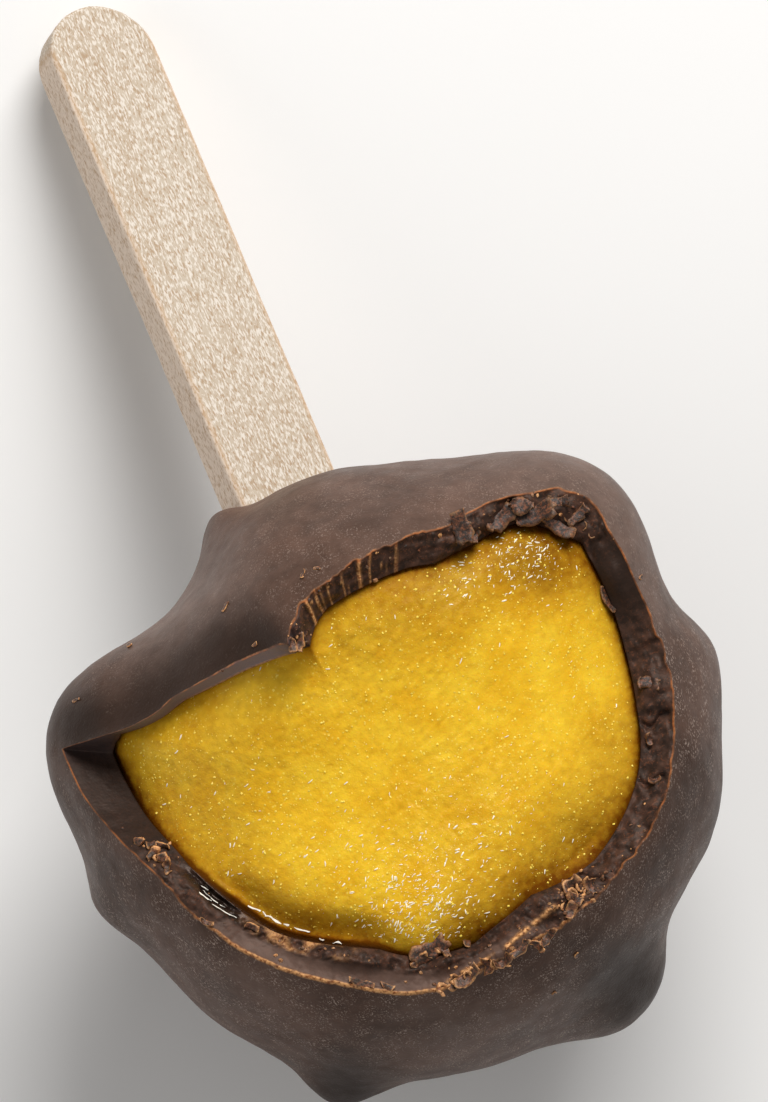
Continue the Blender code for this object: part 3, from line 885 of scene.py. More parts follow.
# %% [markdown]
# ## The stick
# The stick is a flat strip of birch with round ends and slightly rounded edges. Its outline is drawn once
# and filled, a remesh turns the plain strip into small even squares, and then every point moves a little
# along long thin noise, which is how planed wood feels. The points also keep their place in the stick's own
# frame, so that the grain of the finish can run along it.

# %% Make the stick
STICK_WIDTH = 10.0
STICK_THICKNESS = 3.8
STICK_LENGTH = 76.0
STICK_EDGE_RADIUS = 0.35
STICK_EDGE_STEPS = 3
STICK_SQUARE = 0.19
STICK_PITCH = 20.0
STICK_ROLL = 29.0
STICK_TIP_CENTRE = (1.1, 67.0, 4.45)
ARC_STEPS = 32


def stick_place():
    """The stick's place: rolled about its length, then tipped down to the table."""
    tip = Matrix.Translation(Vector(STICK_TIP_CENTRE) * MM)
    pitch = Matrix.Rotation(math.radians(-STICK_PITCH), 4, "X")
    roll = Matrix.Rotation(math.radians(STICK_ROLL), 4, "Y")
    return tip @ pitch @ roll


def stick_strip():
    """The plain strip in its own frame: width along X, length along Y, the tip's arc about the origin."""
    radius, half = STICK_WIDTH / 2.0, STICK_THICKNESS / 2.0
    outline = []
    for centre, first in ((0.0, 0.0), (-(STICK_LENGTH - STICK_WIDTH), 180.0)):
        for step in range(ARC_STEPS + 1):
            turn = math.radians(first + 180.0 * step / ARC_STEPS)
            outline.append((radius * math.cos(turn), centre + radius * math.sin(turn)))
    count = len(outline)
    points = [(x * MM, y * MM, z * MM) for z in (-half, half) for x, y in outline]
    sides = [(i, (i + 1) % count, (i + 1) % count + count, i + count) for i in range(count)]
    ends = [tuple(range(count))[::-1], tuple(range(count, 2 * count))]
    mesh = bpy.data.meshes.new("stick_strip")
    mesh.from_pydata(points, [], ends + sides)
    return mesh


def plain_copy(item, name):
    """The evaluated mesh of an object as a new plain object; the first one is removed."""
    evaluated = item.evaluated_get(bpy.context.evaluated_depsgraph_get())
    mesh = bpy.data.meshes.new_from_object(evaluated)
    mesh.name = name
    bpy.data.objects.remove(item, do_unlink=True)
    return put(name, mesh)


def make_stick():
    """The stick with fine relief along its grain, in place."""
    strip = put("strip", stick_strip())
    bevel = strip.modifiers.new("rounded edges", "BEVEL")
    bevel.width = STICK_EDGE_RADIUS * MM
    bevel.segments = STICK_EDGE_STEPS
    bevel.limit_method = "ANGLE"
    bevel.angle_limit = math.radians(40.0)
    squares = strip.modifiers.new("even squares", "REMESH")
    squares.mode = "VOXEL"
    squares.voxel_size = STICK_SQUARE * MM
    stick = plain_copy(strip, "wooden_stick")
    mesh = stick.data
    places = np.zeros(len(mesh.vertices) * 3, np.float32)
    mesh.vertices.foreach_get("co", places)
    local = places.reshape(-1, 3) / MM
    normals = np.zeros(len(mesh.vertices) * 3, np.float32)
    mesh.vertices.foreach_get("normal", normals)
    stretched = local * (1.0, 0.09, 1.0)
    fibres = 0.035 * rough_noise(stretched, 0.55, 71, layers=3, fall=0.6)
    moved = local + normals.reshape(-1, 3) * fibres[:, None]
    mesh.vertices.foreach_set("co", (moved * MM).astype(np.float32).ravel())
    along = mesh.attributes.new("stick_frame", "FLOAT_VECTOR", "POINT")
    along.data.foreach_set("vector", local.astype(np.float32).ravel())
    mesh.transform(stick_place())
    mesh.shade_smooth()
    return stick


stick = make_stick()
print("stick", len(stick.data.polygons), "faces")

# %% [markdown]
# ## Helpers for finishes
# Each finish is a small network of nodes. Short helpers make a node, join sockets and mix two colours, so
# that the networks below read as a recipe.

# %% Node helpers


def new_node(tree, kind, **settings):
    """A new node with these settings."""
    made = tree.nodes.new(kind)
    for key, value in settings.items():
        setattr(made, key, value)
    return made


def linear(colour):
    """A colour of 0 to 255 as the linear values that a shader wants."""
    values = [c / 255.0 for c in colour]
    return tuple(v / 12.92 if v <= 0.04045 else ((v + 0.055) / 1.055) ** 2.4 for v in values) + (1.0,)


class Finish:
    """A material with its nodes, and short ways to add more."""

    def __init__(self, name):
        self.material = bpy.data.materials.new(name)
        self.material.use_nodes = True
        self.tree = self.material.node_tree
        self.shader = self.tree.nodes["Principled BSDF"]
        self.place = self.node("ShaderNodeTexCoord").outputs["Object"]

    def node(self, kind, **settings):
        """A new node of this material."""
        return new_node(self.tree, kind, **settings)

    def feed(self, socket, value):
        """Join an output to a socket, or set the socket to a plain value."""
        if isinstance(value, bpy.types.NodeSocket):
            self.tree.links.new(value, socket)
        elif value is not None:
            socket.default_value = value

    def give(self, name, value):
        """Join or set one input of the shader."""
        self.feed(self.shader.inputs[name], value)

    def mark(self, name):
        """A value stored on the points."""
        return self.node("ShaderNodeAttribute", attribute_name=name).outputs["Fac"]

    def noise(self, size, detail=2.0, place=None, stretch=None, rough=0.5):
        """Noise with features of about this size in millimetres."""
        made = self.node("ShaderNodeTexNoise")
        made.inputs["Scale"].default_value = 1.0 / (size * MM)
        made.inputs["Detail"].default_value = detail
        made.inputs["Roughness"].default_value = rough
        self.feed(made.inputs["Vector"], self.stretched(place or self.place, stretch))
        return made.outputs["Fac"]

    def stretched(self, place, stretch):
        """Coordinates scaled along each axis."""
        if stretch is None:
            return place
        made = self.node("ShaderNodeMapping")
        made.inputs["Scale"].default_value = stretch
        self.feed(made.inputs["Vector"], place)
        return made.outputs["Vector"]

    def cells(self, size):
        """Distance to the nearest of scattered points, this far apart in millimetres."""
        made = self.node("ShaderNodeTexVoronoi", feature="F1")
        made.inputs["Scale"].default_value = 1.0 / (size * MM)
        self.feed(made.inputs["Vector"], self.place)
        return made.outputs["Distance"]

    def ramp(self, value, low, high, to_low=0.0, to_high=1.0):
        """A value rescaled from one range to another and held inside it."""
        made = self.node("ShaderNodeMapRange")
        names = ("Value", "From Min", "From Max", "To Min", "To Max")
        for name, given in zip(names, (value, low, high, to_low, to_high)):
            self.feed(made.inputs[name], given)
        return made.outputs["Result"]

    def math(self, operation, first, second=None):
        """One sum on two values."""
        made = self.node("ShaderNodeMath", operation=operation)
        self.feed(made.inputs[0], first)
        self.feed(made.inputs[1], second)
        return made.outputs[0]

    def mix(self, share, first, second):
        """Two colours mixed by a share."""
        made = self.node("ShaderNodeMix", data_type="RGBA")
        self.feed(made.inputs["Factor"], share)
        self.feed(made.inputs[6], first)
        self.feed(made.inputs[7], second)
        return made.outputs[2]

    def bump(self, height, depth, strength=1.0, under=None):
        """A bump of this depth in millimetres, on top of another one."""
        made = self.node("ShaderNodeBump")
        made.inputs["Strength"].default_value = strength
        made.inputs["Distance"].default_value = depth * MM
        self.feed(made.inputs["Height"], height)
        if under is not None:
            self.feed(made.inputs["Normal"], under)
        return made.outputs["Normal"]


# %% [markdown]
# ## Chocolate
# Outside, cold dark chocolate is dull: a thin bloom lies over it in soft clouds, with fine pale specks.
# Where it broke it is darker and redder, and thin crests and torn crumbs turn tan, because light goes
# through them. Its outer edge is rusty. Light and shade are also painted on the outside: painted light on
# the slopes that face the lamp, painted shade along the flap's edge, on the knob, on the drip and on some
# flanks. The stored marks tell the finish where these are, and where it is outside or broken, clean or
# torn, tan or wet.

# %% Chocolate finish
SKIN_DARK = linear((63, 43, 33))
SKIN_BLOOM = linear((89, 64, 52))
SKIN_PAINTED_LIGHT = linear((136, 116, 107))
SKIN_PAINTED_SHADE = linear((34, 23, 18))
SPECK = linear((166, 146, 134))
SHEEN_TINT = (1.0, 0.80, 0.70, 1.0)
BREAK_DARK = linear((42, 31, 26))
BREAK_WARM = linear((74, 51, 41))
TAN = linear((236, 176, 116))
TAN_DEEP = linear((142, 82, 42))
RUST = linear((128, 76, 50))
EDGE_RUST = linear((160, 88, 40))
LEDGE = linear((98, 77, 68))
STRIP = linear((142, 128, 132))
WET_DARK = linear((22, 15, 12))


def tan_colour(f):
    """The colour of thin torn chocolate, from deep orange brown to pale tan."""
    return f.mix(f.ramp(f.noise(0.28, 3.0, rough=0.6), 0.36, 0.57), TAN_DEEP, TAN)


def chocolate():
    """The finish of the coating."""
    f = Finish("dark_chocolate")
    clouds = f.noise(6.0, 3.0)
    fine = f.noise(0.9, 3.0)
    bloom_and_painted_light = f.math("ADD", f.math("MULTIPLY", clouds, 0.7), f.math("MULTIPLY", fine, 0.3))
    skin = f.mix(f.ramp(bloom_and_painted_light, 0.38, 0.64), SKIN_DARK, SKIN_BLOOM)
    specks = f.ramp(f.noise(0.15, 2.0, f.place, (1.0, 0.55, 1.0), 0.6), 0.56, 0.64)
    some = f.ramp(f.noise(1.6, 3.0), 0.38, 0.60)
    up_stick = f.node("ShaderNodeSeparateXYZ")
    f.feed(up_stick.inputs[0], f.place)
    amount = f.ramp(up_stick.outputs["Y"], -8.0 * MM, 14.0 * MM, 0.9, 0.35)
    skin = f.mix(f.math("MULTIPLY", f.math("MULTIPLY", specks, some), amount), skin, SPECK)
    # painted light: paler skin on the slopes that face the lamp
    skin = f.mix(f.math("MULTIPLY", f.mark("bloom_and_painted_light"), f.ramp(bloom_and_painted_light, 0.3, 0.7, 0.5, 1.0)), skin, SKIN_PAINTED_LIGHT)
    # painted shade: darker skin where the outside faces away from the lamp
    painted_shade = f.mark("painted_shade")
    skin = f.mix(f.math("MULTIPLY", painted_shade, 0.9), skin, SKIN_PAINTED_SHADE)
    clean = f.mark("clean")
    torn = f.mix(f.ramp(f.noise(0.8, 4.0), 0.38, 0.66), BREAK_DARK, BREAK_WARM)
    face = f.mix(f.math("MULTIPLY", clean, 0.85), torn, BREAK_DARK)
    crumbly = f.ramp(f.noise(0.30, 3.0, rough=0.7), 0.56, 0.63)
    share = f.math("MULTIPLY", crumbly, f.ramp(clean, 0.0, 1.0, 0.34, 0.05))
    face = f.mix(f.math("MULTIPLY", f.mark("ledge"), 0.8), f.mix(share, face, RUST), LEDGE)
    face = f.mix(f.math("MULTIPLY", f.mark("strip"), 0.9), face, STRIP)
    colour = f.mix(f.mark("broken"), skin, face)
    thin = f.math("MULTIPLY", f.mark("tan"), f.ramp(f.noise(0.5, 2.0), 0.30, 0.46, 0.55, 1.0))
    edge_colour = f.mix(f.mark("rusty"), tan_colour(f), EDGE_RUST)
    colour = f.mix(thin, colour, edge_colour)
    colour = f.mix(f.math("MULTIPLY", f.mark("wet"), 0.9), colour, WET_DARK)
    f.give("Base Color", colour)
    dull = f.ramp(f.noise(2.0, 3.0), 0.3, 0.7, 0.42, 0.54)
    f.give("Roughness", f.ramp(f.mark("wet"), 0.2, 0.8, dull, 0.08))
    # less sheen on the painted shade and on the broken face
    painted_shade_and_break = f.math("MAXIMUM", painted_shade, f.mark("broken"))
    f.give("Specular IOR Level", f.ramp(painted_shade_and_break, 0.0, 1.0, 0.25, 0.20))
    f.give("Specular Tint", SHEEN_TINT)
    small = f.bump(f.noise(0.25, 3.0), 0.05, 0.6)
    f.give("Normal", f.bump(f.noise(1.3, 2.0), 0.10, 0.45, small))
    return f.material


def torn_chocolate():
    """The finish of loose crumbs and flakes: dark faces and tan edges."""
    f = Finish("torn_chocolate")
    dark = f.mix(f.ramp(f.noise(0.30, 4.0, rough=0.7), 0.46, 0.64), BREAK_DARK, RUST)
    share = f.math("MULTIPLY", f.mark("tan"), f.ramp(f.noise(0.5, 2.0), 0.30, 0.46, 0.6, 1.0))
    f.give("Base Color", f.mix(share, dark, tan_colour(f)))
    f.give("Roughness", 0.45)
    f.give("Normal", f.bump(f.noise(0.25, 4.0, rough=0.65), 0.10, 0.9))
    return f.material


coating.data.materials.append(chocolate())
torn_finish = torn_chocolate()
print("finishes", coating.data.materials[0].name, "and", torn_finish.name)

# %% [markdown]
# ## Mango ice
# Frozen mango is wet and lets light in, so it glows a little and its shadows are soft. The colour is a warm
# golden yellow, browner at the edge where juice has gathered, with fine paler bubbles under the surface.
# Shade is painted on it too, as brown on the slopes and under the rims. Ice grains that stand out of it are
# nearly white: partly frost, partly painted glints where the ice catches the light.

# %% Mango finish
GOLD = linear((243, 200, 52))
GOLD_DEEP = linear((235, 183, 38))
GOLD_PALE = linear((252, 224, 96))
AMBER = linear((146, 80, 10))
STAIN_AND_SHADE_BROWN = linear((104, 58, 6))
MOAT = linear((58, 32, 12))
# ice grains: white as frost, and as painted glints where the ice sparkles
FROST_AND_GLINT = linear((255, 248, 226))


def mango():
    """The finish of the frozen filling."""
    f = Finish("mango_ice")
    colour = f.mix(f.ramp(f.noise(3.5, 4.0), 0.36, 0.62), GOLD_DEEP, GOLD)
    grain = f.ramp(f.noise(0.5, 3.0, rough=0.65), 0.35, 0.65)
    colour = f.mix(f.math("MULTIPLY", grain, 0.20), colour, GOLD_DEEP)
    bubbles = f.ramp(f.cells(0.45), 0.28, 0.15)
    here = f.ramp(f.noise(1.5, 3.0), 0.42, 0.60)
    colour = f.mix(f.math("MULTIPLY", f.math("MULTIPLY", bubbles, here), 0.7), colour, GOLD_PALE)
    uneven = f.ramp(f.noise(0.7, 3.0), 0.30, 0.70, -0.10, 0.10)
    # juice stain and painted shade: amber, then dark brown
    brown = f.mix(f.ramp(f.mark("stain_and_shade"), 0.45, 0.95), AMBER, STAIN_AND_SHADE_BROWN)
    colour = f.mix(f.ramp(f.math("ADD", f.mark("stain_and_shade"), uneven), 0.05, 0.95), colour, brown)
    colour = f.mix(f.ramp(f.mark("stain_and_shade"), 1.0, 1.5), colour, MOAT)
    f.give("Base Color", colour)
    dull = f.ramp(f.noise(0.5, 2.0), 0.3, 0.7, 0.10, 0.24)
    dull = f.math("ADD", dull, f.ramp(f.mark("stain_and_shade"), 0.25, 0.8, 0.0, 0.25))
    f.give("Roughness", f.ramp(f.mark("wet"), 0.2, 0.8, dull, 0.05))
    f.give("Specular IOR Level", f.ramp(f.mark("stain_and_shade"), 0.25, 0.8, 0.16, 0.03))
    f.give("Subsurface Weight", 0.30)
    f.give("Subsurface Radius", (1.0, 0.6, 0.12))
    f.give("Subsurface Scale", 1.2 * MM)
    f.give("IOR", 1.33)
    fine = f.bump(f.noise(0.16, 2.0), 0.05, 0.7)
    f.give("Normal", f.bump(f.noise(0.42, 2.0), 0.10, 0.5, fine))
    return f.material


def frost(name, colour):
    """The finish of ice grains, beads and painted highlight streaks."""
    f = Finish(name)
    f.give("Base Color", colour)
    f.give("Roughness", 0.18)
    f.give("IOR", 1.31)
    return f.material


filling.data.materials.append(mango())
grain_finish = frost("ice_grain", FROST_AND_GLINT)
bead_finish = frost("ice_bead", GOLD_PALE)
print("finishes", filling.data.materials[0].name, "and", grain_finish.name)

# %% [markdown]
# ## Birch
# The stick is pale, untreated birch, rotary cut, so its face is covered with short fibre flecks along the
# length: some nearly white, some tan. It is warmer at the tip and along its edges. Its narrow sides are
# painted paler, as painted light. The noise reads the place in the stick's own frame and is stretched along
# it.

# %% Birch finish
BIRCH = linear((192, 178, 160))
BIRCH_TAN = linear((164, 136, 106))
BIRCH_PALE = linear((224, 216, 206))
BIRCH_EDGE = linear((196, 150, 100))
BIRCH_SIDE_PAINTED_LIGHT = linear((246, 238, 228))


def birch():
    """The finish of the wooden stick."""
    f = Finish("birch")
    frame_place = f.node("ShaderNodeAttribute", attribute_name="stick_frame").outputs["Vector"]
    scaled = f.node("ShaderNodeVectorMath", operation="SCALE")
    f.feed(scaled.inputs[0], frame_place)
    scaled.inputs["Scale"].default_value = MM
    place = scaled.outputs[0]
    bands = f.noise(1.3, 2.0, place, (1.0, 0.05, 1.0))
    colour = f.mix(f.ramp(bands, 0.35, 0.7, 0.0, 0.30), BIRCH, BIRCH_TAN)
    along = f.node("ShaderNodeSeparateXYZ")
    f.feed(along.inputs[0], frame_place)
    colour = f.mix(f.ramp(along.outputs["Y"], -10.0, 6.0, 0.0, 0.18), colour, BIRCH_TAN)
    from_edge = f.math("SUBTRACT", STICK_WIDTH / 2.0, f.math("ABSOLUTE", along.outputs["X"]))
    # painted light: the narrow sides are painted paler than the face
    colour = f.mix(f.ramp(from_edge, 0.2, 0.08, 0.0, 0.9), colour, BIRCH_SIDE_PAINTED_LIGHT)
    tan_flecks = f.ramp(f.noise(0.15, 2.0, place, (1.0, 0.30, 1.0)), 0.50, 0.62)
    colour = f.mix(f.math("MULTIPLY", tan_flecks, 0.75), colour, BIRCH_TAN)
    mirrored = f.stretched(place, (1.0, 1.0, -1.0))
    pale_flecks = f.ramp(f.noise(0.14, 2.0, mirrored, (1.0, 0.28, 1.3)), 0.50, 0.60)
    colour = f.mix(f.math("MULTIPLY", pale_flecks, 0.8), colour, BIRCH_PALE)
    colour = f.mix(f.ramp(from_edge, 0.6, 0.25, 0.0, 0.35), colour, BIRCH_EDGE)
    f.give("Base Color", colour)
    f.give("Roughness", 0.7)
    f.give("Specular IOR Level", 0.3)
    f.give("Normal", f.bump(f.noise(0.22, 3.0, place, (1.0, 0.2, 1.0)), 0.06, 0.8))
    return f.material


stick.data.materials.append(birch())
print("finish", stick.data.materials[0].name)

# %% [markdown]
# ## Flakes and nuggets at the rim
# Where the shell was torn, thin flakes curl away from the edge and small nuggets lie in the break. The
# larger ones can be told apart in the photo, so each has its place: how far round the rim, how far across
# the broken face, its size and how it is turned. A flake is a thin plate with a ragged outline, tan along
# its border. A nugget is a plate as thick as it is wide, and a curl is a flattened tube bent to an arc. A few
# chips stick to the outside.

# %% Make the flakes
# azimuth, across, lift, length, width, thickness, curl, turn, tilt
FLAKES = (
    (50.0, 0.35, 0.55, 3.0, 1.9, 0.55, 0.10, 75, 12),
    (47.0, 0.80, 0.45, 1.5, 1.0, 0.50, 0.25, 60, 30),
    (40.5, 0.40, 0.35, 2.2, 1.3, 0.40, 0.25, -20, 20),
    (37.5, 0.70, 0.35, 3.8, 1.9, 0.60, 0.16, 12, 16),
    (33.0, 0.82, 0.30, 3.2, 1.4, 0.55, 0.18, -14, 22),
    (30.5, 0.40, 0.25, 2.2, 0.9, 0.30, 0.12, 70, 12),
    (43.0, 0.62, 0.30, 3.0, 1.5, 0.60, 0.12, 20, 14),
    (35.0, 0.35, 0.25, 2.4, 1.0, 0.40, 0.15, 35, 10),
    (15.6, 1.05, 0.05, 2.6, 0.6, 0.25, 0.10, 5, 50),
    (99.5, 0.70, 0.30, 1.7, 0.8, 0.40, 0.15, 35, 15),
    (102.5, 0.45, 0.25, 1.2, 0.6, 0.30, 0.20, 15, 10),
    (292.0, -0.10, 0.25, 1.9, 0.8, 0.28, 0.45, 40, -15),
    (289.0, -0.12, 0.20, 1.4, 0.6, 0.26, 0.50, 100, -20),
    (285.0, 0.02, 0.25, 2.2, 0.7, 0.30, 0.20, 8, -10),
    (279.0, -0.08, 0.25, 1.9, 0.9, 0.28, 0.55, 25, -25),
    (275.5, 0.02, 0.25, 1.6, 0.8, 0.30, 0.40, 80, -15),
    (269.5, -0.02, 0.30, 2.6, 1.2, 0.32, 0.30, 12, -20),
    (265.5, 0.12, 0.20, 1.5, 0.7, 0.30, 0.25, 30, 10),
    (261.0, 1.15, 0.65, 3.6, 1.9, 0.90, 0.10, 24, 14),
    (265.5, 1.30, 1.00, 2.6, 0.9, 0.40, 0.25, 100, 25),
    (258.0, 0.95, 0.60, 1.6, 0.9, 0.50, 0.30, 35, 30),
    (273.5, 1.20, 0.10, 1.2, 0.7, 0.30, 0.30, 60, 25),
    (306.0, 0.75, 0.45, 1.7, 1.2, 0.40, 0.35, 30, 20),
    (309.0, 0.35, 0.40, 1.5, 0.9, 0.35, 0.30, 75, 25),
    (304.0, 0.35, 0.35, 1.3, 0.8, 0.30, 0.25, 120, -15),
    (301.0, 0.15, 0.25, 1.5, 0.7, 0.30, 0.20, 20, -10),
    (177.5, 0.55, 0.45, 1.1, 0.75, 0.55, 0.15, 20, 20),
    (175.5, 0.38, 0.45, 1.2, 0.70, 0.60, 0.20, 100, 15),
    (173.5, 0.60, 0.40, 1.0, 0.70, 0.50, 0.20, 60, -20),
    (179.5, 0.42, 0.35, 1.3, 0.60, 0.45, 0.25, 140, 20),
    (172.0, 0.40, 0.35, 0.9, 0.60, 0.45, 0.10, 10, 10),
    (174.5, 0.80, 0.35, 1.2, 0.60, 0.40, 0.30, 45, 30),
    (205.0, 0.78, 0.35, 1.3, 0.8, 0.40, 0.20, 15, 15),
    (240.5, 0.14, 0.16, 2.5, 0.7, 0.26, 0.08, 2, -8),
    (247.5, 0.16, 0.14, 1.2, 0.5, 0.24, 0.15, -10, -8),
    (196.0, 0.05, 0.15, 1.3, 0.5, 0.25, 0.30, 20, -20),
    (356.6, 0.62, 0.20, 1.9, 1.1, 0.35, 0.15, 70, 14),
    (336.0, 0.45, 0.35, 1.3, 0.7, 0.35, 0.25, 110, 20),
    (345.0, 0.75, 0.30, 1.0, 0.6, 0.30, 0.25, 20, 25),
)
# azimuth, across, lift, radius, sweep, thickness, turn, tilt
CURLS = (
    (262.6, -0.05, 0.30, 0.85, 200, 0.42, 150, 15),
    (264.6, 0.20, 0.40, 0.70, 120, 0.36, 20, -25),
    (266.8, 0.02, 0.05, 0.80, 150, 0.34, 200, 20),
    (269.6, -0.05, 0.22, 0.75, 290, 0.34, 30, 15),
    (271.5, 0.10, 0.45, 0.60, 200, 0.30, 140, -20),
    (274.0, 0.02, 0.30, 1.10, 90, 0.34, 40, 10),
    (277.6, -0.05, 0.30, 0.65, 180, 0.34, 190, 15),
    (280.6, -0.08, 0.30, 0.55, 210, 0.34, 170, 20),
    (282.5, -0.02, 0.30, 0.70, 110, 0.30, 60, 0),
    (265.8, 1.20, 1.00, 1.10, 80, 0.40, 190, 10),
    (264.0, 1.30, 0.70, 0.90, 80, 0.34, 80, 10),
    (31.5, 0.55, 0.30, 0.80, 110, 0.16, 40, 10),
    (29.0, 0.60, 0.14, 0.60, 130, 0.14, 200, 10),
    (26.5, 0.45, -0.10, 0.90, 80, 0.14, 120, 10),
    (33.5, 0.35, 0.20, 0.50, 160, 0.16, 300, 10),
    (304.5, 0.45, 0.18, 0.75, 260, 0.30, 60, 25),
    (307.5, 0.60, 0.45, 0.60, 200, 0.28, 200, -20),
    (301.0, 0.30, 0.35, 0.55, 150, 0.28, 120, 15),
    (175.0, 0.50, 0.45, 0.45, 230, 0.42, 80, 20),
    (176.8, 0.42, 0.40, 0.40, 200, 0.40, 240, -15),
)
# chips that stick to the outside: x, y, length, width, turn
CHIPS = (
    (-7.0, 19.0, 1.3, 0.6, 30),
    (0.3, 18.9, 1.5, 0.35, 60),
    (1.6, 18.9, 1.0, 0.30, 150),
    (-5.9, 14.9, 0.8, 0.5, 0),
    (-16.0, 19.1, 1.6, 0.6, 25),
    (-22.2, 16.6, 1.4, 0.5, 80),
    (27.2, 7.2, 0.9, 0.5, 70),
    (9.2, -20.7, 0.7, 0.4, 45),
    (6.0, -23.0, 0.6, 0.35, 10),
)
CHIP_THICKNESS, CHIP_CURL, CHIP_LIFT, CHIP_TILT, CHIP_SEED = 0.16, 0.08, 0.08, 5, 51
FLAKE_LONG, FLAKE_WIDE = 16, 9
CURL_STEPS, CURL_SIDES = 20, 8
# middle, half width and softness of the azimuths where flakes stand in the shade and look darker
SHADED = (15, 60, 4.0)
SHADED_CURLS = (30, 45, 4.0)
THICK_CHUNK = 0.8


def flake(length, width, thickness, curl, seed):
    """Points, faces and tan border of one flake about its own middle, in millimetres."""
    u, v = np.meshgrid(np.linspace(-1, 1, FLAKE_LONG), np.linspace(-1, 1, FLAKE_WIDE), indexing="ij")
    border = np.maximum(np.abs(u), np.abs(v))
    round_u, round_v = u * np.sqrt(1 - 0.15 * v * v), v * np.sqrt(1 - 0.35 * u * u)
    flat = np.stack([round_u * length / 2, round_v * width / 2, 0.0 * u], axis=-1)
    shift = np.stack([soft_noise(flat + seed * 7.3, 0.42, 90 + k) for k in range(2)], axis=-1)
    flat[..., :2] += shift * (0.18 + 0.14 * width) * border[..., None] ** 3
    bend = curl * length * (u ** 2 - 0.3) + 0.25 * thickness * soft_noise(flat + seed * 3.1, 0.7, 93)
    thin = thickness / 2 * (1 - 0.55 * border ** 6) * (1 + 0.3 * soft_noise(flat + seed, 0.35, 94))
    sides = [flat + np.stack([0 * u, 0 * u, bend + way * thin], axis=-1) for way in (1, -1)]
    count = FLAKE_LONG * FLAKE_WIDE
    index = np.arange(count).reshape(FLAKE_LONG, FLAKE_WIDE)
    a, b, c, d = index[:-1, :-1], index[1:, :-1], index[1:, 1:], index[:-1, 1:]
    top = np.stack([a, b, c, d], -1).reshape(-1, 4)
    faces = top.tolist() + (top[:, ::-1] + count).tolist()
    loop = np.concatenate([index[:, 0], index[-1, 1:], index[-2::-1, -1], index[0, -2:0:-1]])
    after = np.roll(loop, -1)
    faces += np.stack([loop, loop + count, after + count, after], -1).tolist()
    points = np.concatenate([side.reshape(-1, 3) for side in sides])
    uneven = 0.4 * soft_noise(flat.reshape(-1, 3), 0.5, 97)
    tan = np.tile(np.clip((border.reshape(-1) - 0.76) * 4.0 + uneven, 0.04, 0.95), 2)
    return points, faces, tan


def curl_round(radius, sweep, thickness, seed):
    """Points, faces and tan of one thin curl: a flattened tube bent to an arc."""
    sides = np.arange(CURL_SIDES) * 2 * np.pi / CURL_SIDES
    u, around = np.meshgrid(np.linspace(-1, 1, CURL_STEPS), sides, indexing="ij")
    turn = np.radians(sweep / 2) * u
    wobble = 1.0 + 0.22 * soft_noise(np.stack([turn * 1.3, 0 * u + seed * 5.1, 0 * u], -1), 1.0, 95)
    rough = 1.0 + 0.35 * soft_noise(np.stack([turn * 4.0, around, 0 * u + seed], -1), 0.7, 96)
    thick = thickness / 2 * (1 - 0.7 * np.abs(u) ** 3) * rough
    far = radius * (wobble - 0.35) + thick * np.cos(around)
    arc = [far * np.cos(turn), far * np.sin(turn), 0.8 * thick * np.sin(around)]
    points = np.stack(arc, -1).reshape(-1, 3)
    index = np.arange(CURL_STEPS * CURL_SIDES).reshape(CURL_STEPS, CURL_SIDES)
    after = np.roll(index, -1, axis=1)
    faces = np.stack([index[:-1], index[1:], after[1:], after[:-1]], -1).reshape(-1, 4).tolist()
    faces += [index[0].tolist(), index[-1][::-1].tolist()]
    return points, faces, np.full(len(points), 0.95)


def rim_frame(azimuth, across):
    """Place on the broken face, with axes along the rim, inwards and up."""
    turn = np.array([azimuth, azimuth + 0.5])
    place = band_surface(turn, np.full(2, float(np.clip(across, 0.0, 1.0))))[0]
    inwards = -np.array([math.cos(math.radians(azimuth)), math.sin(math.radians(azimuth)), 0.0])
    start = place[0] + inwards * (across - min(max(across, 0.0), 1.0)) * float(band_width(turn[:1])[0])
    along = place[1] - place[0]
    along[2] *= 0.5
    along = along / np.linalg.norm(along)
    up = np.array([0.0, 0.0, 1.0]) - along * along[2]
    up = up / np.linalg.norm(up)
    return start, np.stack([along, np.cross(up, along), up])


def skin_frame(x, y):
    """Place on the coating's outside under a point seen from above, with axes on it and outwards."""
    azimuth, flat = math.degrees(math.atan2(y, x)) % 360.0, math.hypot(x, y)
    turn = np.array([azimuth, azimuth + 0.5, azimuth])
    rise = elevation_at(outer_radius, turn, np.full(3, flat))
    rise[2] -= 1.0
    place = outer_skin(turn, rise)
    along, down = place[1] - place[0], place[2] - place[0]
    out = np.cross(down, along)
    out, along = out / np.linalg.norm(out), along / np.linalg.norm(along)
    return place[0], np.stack([along, np.cross(out, along), out])


